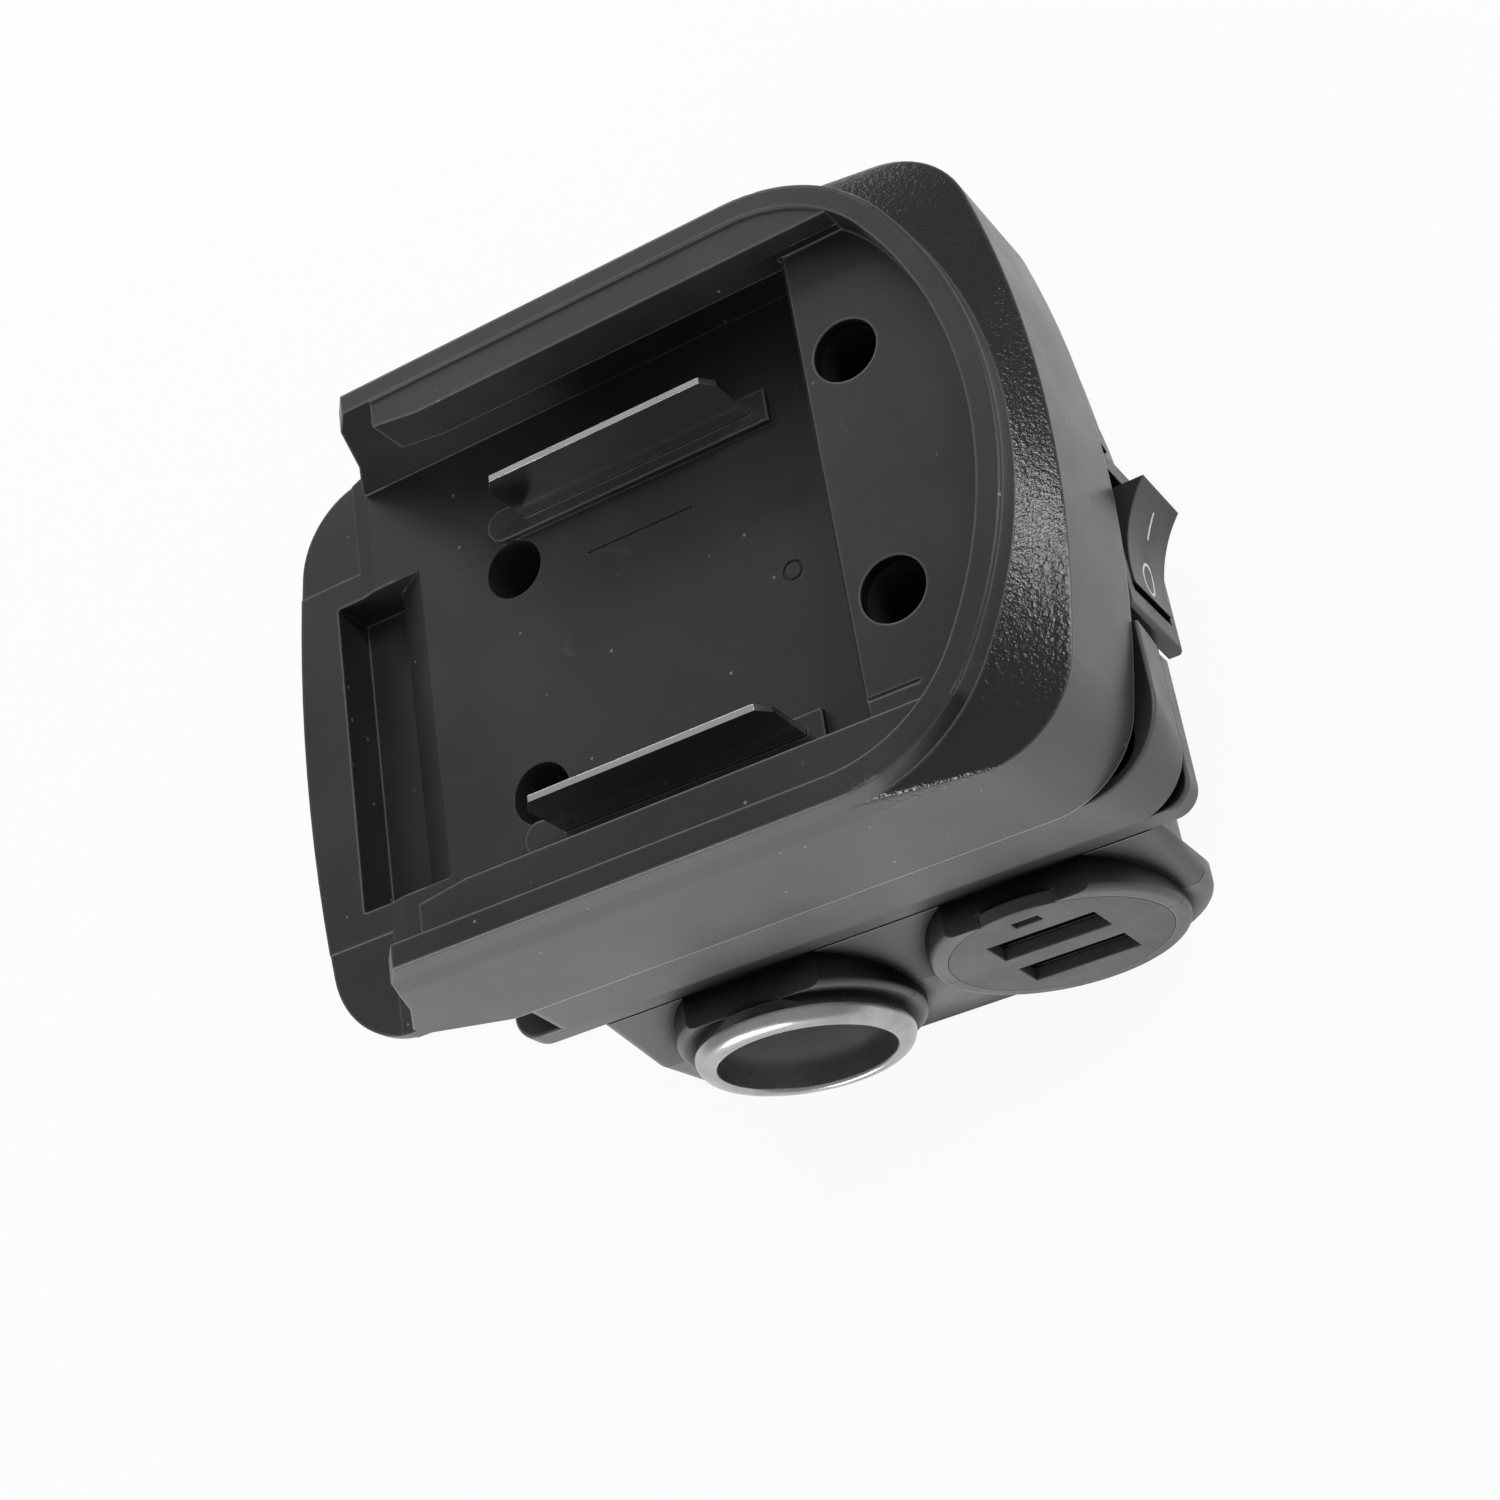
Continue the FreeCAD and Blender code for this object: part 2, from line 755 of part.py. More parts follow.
# One block of the body, with an end at x1 whose lower corner is round
def body_form(x1, round_r, inset):
    x0 = body_x0 + inset
    x1 = x1 - inset
    back = inset
    edge_r = body_edge_r - inset
    round_r = round_r - inset
    reach = body_seam_half_w + over
    top = flange_z
    bend = math.sqrt(0.5)
    edges = [
        line(V(x0, -reach, top), V(x0, -reach, back + edge_r)),
        arc(V(x0, -reach, back + edge_r),
            V(x0 + edge_r * (1 - bend), -reach, back + edge_r * (1 - bend)),
            V(x0 + edge_r, -reach, back)),
        line(V(x0 + edge_r, -reach, back), V(x1 - round_r, -reach, back)),
        arc(V(x1 - round_r, -reach, back),
            V(x1 - round_r * (1 - bend), -reach, back + round_r * (1 - bend)),
            V(x1, -reach, back + round_r)),
        line(V(x1, -reach, back + round_r), V(x1, -reach, top)),
        line(V(x1, -reach, top), V(x0, -reach, top)),
    ]
    side_view = Part.Face(Part.Wire(edges)).extrude(V(0, 2 * reach, 0))
    top_w = body_top_half_w - inset
    seam_w = body_seam_half_w - inset
    back_w = body_back_half_w - inset
    end_view = prism([
        V(body_x0 - over, -top_w, top),
        V(body_x0 - over, -seam_w, socket_z),
        V(body_x0 - over, -back_w, 0),
        V(body_x0 - over, back_w, 0),
        V(body_x0 - over, seam_w, socket_z),
        V(body_x0 - over, top_w, top),
    ], V(x1 - body_x0 + 2 * over, 0, 0))
    block = side_view.common(end_view)
    if inset:
        return block
    rims = [e for e in block.Edges if faces_out(e)]
    return block.makeFillet(body_edge_fillet, rims)


# The front face reaches further than the body behind it, in a cheek with a slanted back
def body_outside():
    cheek_x1 = usb_x + socket_z
    cheek_y = cheek_t - body_seam_half_w
    front = -body_seam_half_w - over
    plan = prism([
        V(usb_x, front, -over),
        V(cheek_x1 + over, front, -over),
        V(cheek_x1 + over, cheek_y, -over),
        V(cheek_x1, cheek_y, -over),
        V(body_x1, cheek_y + cheek_slant_w, -over),
        V(usb_x, cheek_y + cheek_slant_w, -over),
    ], V(0, 0, flange_z + 2 * over))
    cheek = body_form(cheek_x1, socket_z, 0).common(plan)
    return fuse(body_form(body_x1, body_round_r, 0), cheek)


def body_inside(inset):
    return body_form(body_x1, body_round_r, inset)


# The body's outer edges round the front and rear faces, without the open top
def faces_out(edge):
    span = edge.BoundBox
    side = min(abs(span.YMin), abs(span.YMax)) > body_top_half_w - end_gap
    level_seam = span.ZLength < end_gap and abs(span.ZMin - socket_z) < end_gap
    level_top = span.ZMin > flange_z - end_gap
    return side and span.YMin * span.YMax > 0 and not level_seam and not level_top


def collars():
    ends = []
    for x in (socket_x, usb_x):
        end = rod(collar_r, collar_depth, V(x, collar_face_y, socket_z), Y_AXIS)
        face = [e for e in end.Edges if e.BoundBox.YMax < collar_face_y + end_gap]
        ends.append(end.makeFillet(collar_edge_r, face))
    return ends


def socket_openings():
    barrel_r = barrel_bore_r + barrel_t + fit_clear
    depth = collar_depth + 2 * over
    barrel = rod(barrel_r, depth, V(socket_x, collar_face_y - over, socket_z), Y_AXIS)
    seat = rod(panel_r + panel_clear, panel_t + over, V(usb_x, collar_face_y - over, socket_z),
               Y_AXIS)
    throat = rod(panel_seat_r, depth, V(usb_x, collar_face_y - over, socket_z), Y_AXIS)
    return [barrel, seat, throat]


# The bay that the switch's bezel lies in, and the ways in for its case and its tabs
def switch_ways():
    half_h = switch_body_h / 2 + switch_cut_clear
    half_w = switch_body_w / 2 + switch_cut_clear
    case_x = switch_bay_x - switch_body_depth - switch_cut_clear
    tab_x0 = case_x - switch_tab_len - wire_r
    bay = box(switch_bay_x, skirt_end_x + over, switch_bay_y0, switch_bay_y1,
              flange_z - over, dock_z + over)
    case_way = box(case_x, skirt_end_x, switch_y - half_h, switch_y + half_h,
                   switch_z - half_w, switch_z + half_w)
    tab_way = box(tab_x0, case_x + over, switch_y + fixed_contact_y - 2 * wire_r,
                  switch_y + 2 * wire_r, flange_z - over, mid_z + over)
    return [bay, case_way, tab_way]


def body_screw_places():
    near = body_x0 + body_screw_inset_x
    far = body_x1 - body_screw_inset_x - body_edge_r
    return [(near, body_screw_y), (far, body_screw_y), (body_screw_mid_x, -body_screw_y)]


# A rib that holds the socket's barrel
def barrel_saddle(z0, z1):
    r = barrel_bore_r + barrel_t
    y = (collar_face_y + barrel_back_y) / 2
    half = saddle_t / 2
    reach = r + saddle_margin
    rib = box(socket_x - reach, socket_x + reach, y - half, y + half, z0, z1)
    return rib.cut(rod(r + fit_clear, 2 * saddle_t, V(socket_x, y - saddle_t, socket_z), Y_AXIS))


def body_half(z0, z1):
    reach = body_seam_half_w + 2 * over
    half = box(body_x0 - over, skirt_end_x, -reach, reach, z0, z1)
    shell = fuse(body_outside(), *collars()).common(half)
    shell = shell.cut(body_inside(body_wall_t))
    return fuse(shell, *[c.common(half).cut(body_inside(collar_depth)) for c in collars()])


# The flange, and the low plinth on it that the middle shell stands on
def flange():
    outline = two_sided_wire(flange_x0, flange_x1, flange_half_w, flange_back_r,
                             (flange_corner_r, straight_crown_r),
                             (flange_far_corner_r, flange_far_crown_r), flange_z)
    plate = round_rims(Part.Face(outline).extrude(V(0, 0, flange_plate_t)), flange_edge_r)
    plinth = Part.Face(mid_outline(plinth_inset, flange_z + flange_plate_t - flange_edge_r))
    plinth = plinth.extrude(V(0, 0, flange_t - flange_plate_t + flange_edge_r))
    within = Part.Face(outline).extrude(V(0, 0, flange_t))
    return fuse(plate, plinth.common(within))


def body_upper():
    shell = body_half(socket_z, flange_z)
    for cutter in socket_openings():
        shell = shell.cut(cutter)
    shell = fuse(shell, flange(), barrel_saddle(socket_z, flange_z))
    tip_z = body_screw_head_depth + body_screw_len + pilot_spare
    for x, y in body_screw_places():
        shell = fuse(shell, rod(boss_r, flange_z - socket_z, V(x, y, socket_z), Z_AXIS))
        shell = shell.cut(rod(screw_r + pilot_clear, tip_z - socket_z + over,
                              V(x, y, socket_z - over), Z_AXIS))
    for x, y in dock_wells():
        shell = fuse(shell, rod(boss_r, flange_t + boss_reach, V(x, y, mid_z), Z_AXIS * -1))
        pilot = rod(screw_r + pilot_clear, screw_len, V(x, y, mid_z + over), Z_AXIS * -1)
        shell = shell.cut(pilot)
    shell = shell.cut(rod(barrel_bore_r + barrel_t + fit_clear,
                          insulator_flange_y + saddle_margin - collar_face_y,
                          V(socket_x, collar_face_y - over, socket_z), Y_AXIS))
    tab_end = blade_x0 + blade_len
    cable_way = box(tab_end - tab_len - 2 * wire_r, tab_end + 2 * wire_r,
                    well_half_pitch, lip_half_gap, flange_z - over, mid_z + over)
    for cutter in switch_ways() + [cable_way]:
        shell = shell.cut(cutter)
    return shell


def body_lower():
    shell = fuse(body_half(-over, socket_z), barrel_saddle(body_wall_t / 2, socket_z))
    for x, y in body_screw_places():
        shell = fuse(shell, rod(boss_r, socket_z - body_wall_t / 2,
                                V(x, y, body_wall_t / 2), Z_AXIS))
        shell = shell.cut(rod(screw_hole_r, socket_z + 2 * over, V(x, y, -over), Z_AXIS))
        shell = shell.cut(rod(screw_head_r + fit_clear, body_screw_head_depth + over,
                              V(x, y, -over), Z_AXIS))
    for x, y in standoffs():
        post = rod(standoff_r, board_standoff, V(x, y, body_wall_t), Z_AXIS)
        shell = fuse(shell, post)
    for cutter in socket_openings():
        shell = shell.cut(cutter)
    return shell


# Twelve volt socket

def socket_barrel():
    r_out = barrel_bore_r + barrel_t
    front = collar_face_y - rim_front
    crest_r = barrel_bore_r + rim_lip_r
    rim_r = crest_r + rim_round_r
    bend = math.sqrt(0.5)

    def at(r, y):
        return V(socket_x + r, y, socket_z)

    wall_y = front + rim_lip_r
    round_y = front + rim_round_r
    corners = [
        at(rim_r, round_y),
        at(rim_seat_r, collar_face_y),
        at(r_out, collar_face_y),
        at(r_out, barrel_back_y),
        at(barrel_neck_r, barrel_back_y),
        at(barrel_neck_r, barrel_neck_y),
        at(barrel_bore_r, barrel_neck_y),
        at(barrel_bore_r, wall_y),
    ]
    edges = [line(corners[k], corners[k + 1]) for k in range(len(corners) - 1)]
    edges.append(arc(corners[-1], at(crest_r - rim_lip_r * bend, wall_y - rim_lip_r * bend),
                     at(crest_r, front)))
    edges.append(arc(at(crest_r, front),
                     at(crest_r + rim_round_r * bend, round_y - rim_round_r * bend),
                     corners[0]))
    return Part.Face(Part.Wire(edges)).revolve(V(socket_x, 0, socket_z), Y_AXIS, 360)


def socket_insulator():
    r_in = barrel_neck_r - fit_clear
    r_out = barrel_bore_r + barrel_t
    plug = rod(r_in, barrel_back_y - insulator_front_y,
               V(socket_x, insulator_front_y, socket_z), Y_AXIS)
    cap = rod(r_out, insulator_flange_y - barrel_back_y,
              V(socket_x, barrel_back_y, socket_z), Y_AXIS)
    length = insulator_flange_y - insulator_front_y
    hole = rod(contact_stem_r + contact_clear, length + 2 * over,
               V(socket_x, insulator_front_y - over, socket_z), Y_AXIS)
    return fuse(plug, cap).cut(hole)


def centre_contact():
    y0 = insulator_front_y
    head = rod(contact_r, contact_nose, V(socket_x, y0 - contact_nose, socket_z), Y_AXIS)
    nose = [e for e in head.Edges if e.BoundBox.YMax < y0 - contact_nose + end_gap]
    head = head.makeFillet(contact_nose / 2, nose)
    stem = rod(contact_stem_r, insulator_flange_y - y0 + terminal_t + contact_clear,
               V(socket_x, y0, socket_z), Y_AXIS)
    return fuse(head, stem)


# The tab that the contact's stem is riveted through, bent out to the wire
def centre_terminal():
    y0 = insulator_flange_y
    half = terminal_w / 2
    plate = box(socket_x - half, socket_x + half, y0, y0 + terminal_t, socket_z - half,
                socket_z + half)
    tab = box(socket_x - half, socket_x + half, y0, y0 + terminal_len, socket_z - half - terminal_t,
              socket_z - half)
    hole = rod(contact_stem_r + contact_clear, terminal_t + 2 * over, V(socket_x, y0 - over, socket_z),
               Y_AXIS)
    return fuse(plate, tab).cut(hole)


def ground_terminal():
    r_out = barrel_bore_r + barrel_t
    z0 = socket_z - r_out - terminal_t
    return box(socket_x - terminal_w / 2, socket_x + terminal_w / 2,
               barrel_back_y - ground_tab_grip, insulator_flange_y + terminal_len, z0,
               z0 + terminal_t)


# USB parts

def port_centres():
    return [socket_z + port_z_near, socket_z + port_z_far]


def usb_panel():
    disc = rod(panel_r, panel_t, V(usb_x, collar_face_y, socket_z), Y_AXIS)
    for z in port_centres():
        disc = disc.cut(box(usb_x - port_w / 2, usb_x + port_w / 2, collar_face_y - over,
                            collar_face_y + panel_t + over, z - port_h / 2, z + port_h / 2))
    z = socket_z + window_z
    return disc.cut(box(usb_x - window_w / 2, usb_x + window_w / 2, collar_face_y - over,
                        collar_face_y + panel_t + over, z - window_h / 2, z + window_h / 2))


def usb_port(z):
    y0 = collar_face_y + panel_t
    outer = box(usb_x - port_w / 2, usb_x + port_w / 2, y0, y0 + port_len,
                z - port_h / 2, z + port_h / 2)
    t = port_wall_t
    inner = box(usb_x - port_w / 2 + t, usb_x + port_w / 2 - t, y0 - over, y0 + port_len - t,
                z - port_h / 2 + t, z + port_h / 2 - t)
    return outer.cut(inner)


def usb_tongues():
    pieces = []
    for z in port_centres():
        y1 = collar_face_y + panel_t + port_len - port_wall_t
        pieces.append(box(usb_x - tongue_w / 2, usb_x + tongue_w / 2, y1 - tongue_len, y1,
                          z, z + tongue_t))
    return pieces


def usb_pins():
    pieces = []
    for z in port_centres():
        y1 = collar_face_y + panel_t + port_len - port_wall_t
        for k in range(pin_count):
            x = usb_x + (k - (pin_count - 1) / 2) * pin_pitch
            pieces.append(box(x - pin_w / 2, x + pin_w / 2, y1 - tongue_len + over, y1 - over,
                              z - pin_t, z))
    return pieces


def usb_board():
    y0 = collar_face_y + panel_t + port_len
    return box(usb_x - usb_board_w / 2, usb_x + usb_board_w / 2, y0, y0 + board_t,
               socket_z - usb_board_h / 2, socket_z + usb_board_h / 2)


def led_lens():
    y0 = collar_face_y + panel_t + end_gap
    z = socket_z + window_z - led_r / 2
    body = rod(led_r, led_len, V(usb_x, y0, z), Y_AXIS)
    nose = [e for e in body.Edges if e.BoundBox.YMax < y0 + end_gap]
    return body.makeFillet(led_nose_r, nose)


def led_legs():
    y0 = collar_face_y + panel_t + end_gap + led_len
    y1 = collar_face_y + panel_t + port_len
    z = socket_z + window_z - led_r / 2
    return [rod(led_leg_r, y1 - y0, V(usb_x + s * led_leg_pitch / 2, y0, z), Y_AXIS)
            for s in (1, -1)]


# Rocker switch

def switch_face_x():
    return switch_bay_x + bezel_t


def pivot_x():
    return switch_face_x() - rocker_pivot_below


def lever_pin_x():
    return pivot_x() - lever_below - lever_t / 2


# How far below the pivot the plunger's tip reaches when it stands upright on the lever
def plunger_tip():
    return lever_below - lever_t / 2 - plunger_gap


# The switch's parts are drawn about Y = 0, then moved to their place
def at_switch(shape):
    moved = shape.copy()
    moved.translate(V(0, switch_y, 0))
    return moved


def switch_housing():
    x1 = switch_face_x()
    x0 = switch_bay_x - switch_body_depth
    bezel = box(switch_bay_x, x1, -bezel_h / 2, bezel_h / 2, switch_z - bezel_w / 2,
                switch_z + bezel_w / 2)
    bezel = bezel.makeFillet(bezel_edge_r, [e for e in bezel.Edges
                                            if e.BoundBox.XMin > switch_bay_x + end_gap])
    case = box(x0, switch_bay_x + end_gap, -switch_body_h / 2, switch_body_h / 2,
               switch_z - switch_body_w / 2, switch_z + switch_body_w / 2)
    housing = fuse(bezel, case)
    housing = housing.cut(box(x0 + switch_floor_t, x1 + over, -rocker_window_h / 2,
                              rocker_window_h / 2, switch_z - rocker_window_w / 2,
                              switch_z + rocker_window_w / 2))
    half = rocker_w / 2 + trunnion_len + trunnion_clear
    housing = housing.cut(rod(trunnion_r + trunnion_clear, 2 * half,
                              V(pivot_x(), 0, switch_z - half), Z_AXIS))
    slot = terminal_t / 2 + contact_clear
    slot_h = switch_tab_w / 2 + contact_clear
    for y in (0, fixed_contact_y):
        housing = housing.cut(box(x0 - over, x0 + switch_floor_t + over, y - slot, y + slot,
                                  switch_z - slot_h, switch_z + slot_h))
    return housing


# The rocker is drawn level, then tilted to its OFF position
def tilt_rocker(shape):
    tilted = shape.copy()
    tilted.rotate(V(pivot_x(), 0, switch_z), Z_AXIS, -rocker_tilt_deg)
    return tilted


def rocker_profile():
    px = pivot_x()
    z = switch_z - rocker_w / 2
    run = (rocker_crest + rocker_skirt) * math.tan(math.radians(rocker_taper_deg))
    low = rocker_half_len - run
    crest = V(px + rocker_crest, rocker_half_len, z)
    dish = V(px + rocker_crest - rocker_dish, 0, z)
    crest_o = V(px + rocker_crest, -rocker_half_len, z)
    low_o = V(px - rocker_skirt, -low, z)
    low_i = V(px - rocker_skirt, low, z)
    return Part.Wire([arc(crest, dish, crest_o), line(crest_o, low_o), line(low_o, low_i),
                      line(low_i, crest)])


def switch_rocker():
    body = Part.Face(rocker_profile()).extrude(V(0, 0, rocker_w))
    half = rocker_w / 2 + trunnion_len
    pins = rod(trunnion_r, 2 * half, V(pivot_x(), 0, switch_z - half), Z_AXIS)
    guide = rod(plunger_r + plunger_clear + plunger_guide_t, plunger_guide_h + rocker_skirt,
                V(pivot_x(), 0, switch_z), X_AXIS * -1)
    body = fuse(body, pins, guide)
    bore = rod(plunger_r + plunger_clear, rocker_skirt + plunger_guide_h + plunger_bore_top + over,
               V(pivot_x() + plunger_bore_top, 0, switch_z), X_AXIS * -1)
    return tilt_rocker(body.cut(bore))


def switch_plunger():
    x_tip = pivot_x() - plunger_tip()
    shank = rod(plunger_r, plunger_len - plunger_r, V(x_tip + plunger_r, 0, switch_z), X_AXIS)
    nose = Part.makeSphere(plunger_r, V(x_tip + plunger_r, 0, switch_z))
    return tilt_rocker(fuse(shank, nose))


def plunger_spring():
    x0 = pivot_x() - plunger_tip() + plunger_len + end_gap
    x1 = pivot_x() + plunger_bore_top - end_gap
    spring = coil(V(x0, 0, switch_z), X_AXIS, x1 - x0, plunger_coil_r, plunger_coil_wire_r,
                  plunger_coil_turns)
    return tilt_rocker(spring)


def contact_lever():
    pin_x = lever_pin_x()
    strip = box(pin_x, pin_x + lever_t, -lever_len / 2, lever_len / 2,
                switch_z - lever_w / 2, switch_z + lever_w / 2)
    pad = rod(lever_pad_r, lever_pad_t, V(pin_x, fixed_contact_y, switch_z), X_AXIS * -1)
    pin_half = lever_w / 2 + lever_pin_spare
    pin = rod(lever_pin_r, 2 * pin_half, V(pin_x, 0, switch_z - pin_half), Z_AXIS)
    lever = fuse(strip, pad, pin)
    lever.rotate(V(pin_x, 0, switch_z), Z_AXIS, lever_tilt_deg)
    return lever


# A tab from outside the case to a cradle of two cups, in which the lever's pin turns
def switch_common_terminal():
    pin_x = lever_pin_x()
    x_low = switch_bay_x - switch_body_depth - switch_tab_len
    cup_x0 = pin_x - lever_pin_r - lever_cup_x0
    bridge_x1 = pin_x - lever_pin_r - lever_bridge_gap
    half = lever_cup_w / 2
    cup_z0 = lever_w / 2 + lever_cup_gap
    cup_z1 = cup_z0 + lever_cup_t
    strip = box(x_low, bridge_x1, -terminal_t / 2, terminal_t / 2,
                switch_z - switch_tab_w / 2, switch_z + switch_tab_w / 2)
    cups = []
    for low in (switch_z - cup_z1, switch_z + cup_z0):
        cups.append(box(cup_x0, pin_x + lever_pin_r + lever_cup_x1, -half, half,
                        low, low + lever_cup_t))
    bridge = box(cup_x0, bridge_x1, -half, half, switch_z - cup_z1, switch_z + cup_z1)
    carrier = fuse(strip, bridge, *cups)
    bore = rod(lever_pin_r + contact_clear, 2 * (cup_z1 + over),
               V(pin_x, 0, switch_z - cup_z1 - over), Z_AXIS)
    return carrier.cut(bore)


def switch_load_terminal():
    turn = math.radians(lever_tilt_deg)
    reach = (lever_pad_r - fixed_contact_y) * math.sin(turn) + lever_pad_t * math.cos(turn)
    x_low = switch_bay_x - switch_body_depth - switch_tab_len
    x_top = lever_pin_x() - reach - 2 * end_gap - lever_pad_t
    strip = box(x_low, x_top, fixed_contact_y - terminal_t / 2, fixed_contact_y + terminal_t / 2,
                switch_z - switch_tab_w / 2, switch_z + switch_tab_w / 2)
    head = rod(lever_pad_r, lever_pad_t, V(x_top, fixed_contact_y, switch_z), X_AXIS)
    return fuse(strip, head)


# Converter board and its parts

def board_top():
    return body_wall_t + board_standoff + board_t


def standoffs():
    i = standoff_inset
    return [(x, y) for x in (board_x0 + i, board_x1 - i) for y in (board_y0 + i, board_y1 - i)]


def converter_board():
    z0 = body_wall_t + board_standoff
    return box(board_x0, board_x1, board_y0, board_y1, z0, z0 + board_t)


def inductor():
    cx = (board_x0 + board_x1) / 2
    cy = (board_y0 + board_y1) / 2
    z = board_top()
    half = inductor_w / 2
    body = box(cx - half, cx + half, cy - half, cy + half, z, z + inductor_h)
    body = body.makeFillet(inductor_corner_r, [e for e in body.Edges if upright(e)])
    dish = rod(inductor_core_r, inductor_dish + over, V(cx, cy, z + inductor_h - inductor_dish),
               Z_AXIS)
    return body.cut(dish)


def capacitors():
    cy = (board_y0 + board_y1) / 2
    cx = board_x0 + standoff_inset + standoff_r + part_gap + cap_r
    top = board_top() + cap_h - end_gap
    cans = []
    for side in (-1, 1):
        can = rod(cap_r, cap_h, V(cx, cy + side * cap_pitch / 2, board_top()), Z_AXIS)
        cans.append(can.makeFillet(cap_edge_r, [e for e in can.Edges if e.BoundBox.ZMin > top]))
    return cans


def regulator_chips():
    z = board_top()
    x = board_x1 - standoff_inset - standoff_r - part_gap - chip_w
    cy = (board_y0 + board_y1) / 2
    chips = []
    for side in (1, -1):
        y = cy + side * chip_pitch / 2
        chips.append(box(x, x + chip_w, y - chip_l / 2, y + chip_l / 2, z, z + chip_h))
    return chips


def board_fuse():
    cy = (board_y0 + board_y1) / 2
    z = board_top()
    body = box(fuse_x - fuse_t / 2, fuse_x + fuse_t / 2, cy - fuse_w / 2, cy + fuse_w / 2, z,
               z + fuse_h)
    return body.makeFillet(fuse_corner_r, [e for e in body.Edges if upright(e)])


# Screws

def dock_screws():
    return [screw(x, y, mid_z + well_seat_t, screw_len, -1) for x, y in dock_wells()]


def body_screws():
    return [screw(x, y, body_screw_head_depth, body_screw_len, 1)
            for x, y in body_screw_places()]


# Wires, from terminal to terminal through the space inside the shells

def tab_x():
    return blade_x0 + blade_len - tab_len / 2


def tab_z():
    return floor_z - blade_root - tab_drop / 2


# Where the wires meet the switch's tabs, two wire widths from the tabs' ends
def switch_joint_x():
    return switch_bay_x - switch_body_depth - switch_tab_len + 2 * wire_r


def wire_battery_positive():
    y = blade_half_pitch - blade_t / 2
    x_end = switch_joint_x()
    z_end = mid_z + 2 * wire_r
    y_end = switch_y + terminal_t / 2
    return wire([V(tab_x(), y, tab_z()), V(tab_x(), y - 5, tab_z()),
                 V(tab_x() + 5, y - 15, z_end + 2 * wire_r), V(x_end, y_end + 7, z_end),
                 V(x_end, y_end, z_end)])


def wire_battery_negative():
    y = blade_t / 2 - blade_half_pitch
    x = tab_x() - wire_r
    x_mid = x - 2 * wire_r
    y_end = board_y1 - 2 * wire_r
    z = tab_z()
    return wire([V(x, y, z), V(x, y + 8, z), V(x_mid, 0, z - 3), V(x_mid, y_end - 4, z - 4),
                 V(fuse_x, y_end, flange_z), V(fuse_x, y_end, board_top())])


def wire_switch_load():
    x = switch_joint_x()
    y = switch_y + fixed_contact_y
    z0 = switch_z - switch_tab_w / 2
    x_end = board_x1 - 2 * wire_r
    y_end = board_y0 + 2 * wire_r
    z_end = board_top()
    return wire([V(x, y, z0), V(x, y, z0 - 8), V(x_end + 1, y + 8, z0 - 14),
                 V(x_end, y_end, z_end + 6), V(x_end, y_end, z_end)])


def wire_socket_positive():
    x = socket_x + 2 * wire_r
    y = insulator_flange_y + terminal_len - 2 * wire_r
    z = socket_z - terminal_w / 2
    x_end = board_x0 + standoff_inset + standoff_r + part_gap + 2 * cap_r + 2 * wire_r
    y_end = board_y0 + 4 * wire_r
    return wire([V(x, y, z), V(x, y, z + 7), V(x_end, y_end, z + 7), V(x_end, y_end, board_top())])


def wire_socket_negative():
    x = socket_x + 2 * wire_r
    y = insulator_flange_y + terminal_len - 2 * wire_r
    z = socket_z - barrel_bore_r - barrel_t
    y_end = board_y0 + 1.5 * wire_r
    x_end = x + 6 * wire_r
    z_top = z + 6 * wire_r
    return wire([V(x, y, z), V(x, y, z_top), V(x_end, y_end, z_top), V(x_end, y_end, board_top())])


def wires_usb():
    y_back = collar_face_y + panel_t + port_len + board_t
    y = board_y0 + 2 * wire_r
    z = board_top()
    low_z = z + 5 * wire_r
    high_z = z + 9 * wire_r
    low_x = usb_x - 6 * wire_r
    high_x = low_x - 4 * wire_r
    low = wire([V(fuse_x + wire_r, y, z), V(fuse_x + wire_r, y, low_z + 1),
                V(low_x - 3, -4, low_z + 1.5), V(low_x, y_back + 7, low_z),
                V(low_x, y_back, low_z)])
    high = wire([V(fuse_x - 2 * wire_r, y, z), V(fuse_x - 2 * wire_r, y, high_z),
                 V(high_x - 3.5, -4, high_z + 0.5), V(high_x, y_back + 7, high_z),
                 V(high_x, y_back, high_z)])
    return [low, high]


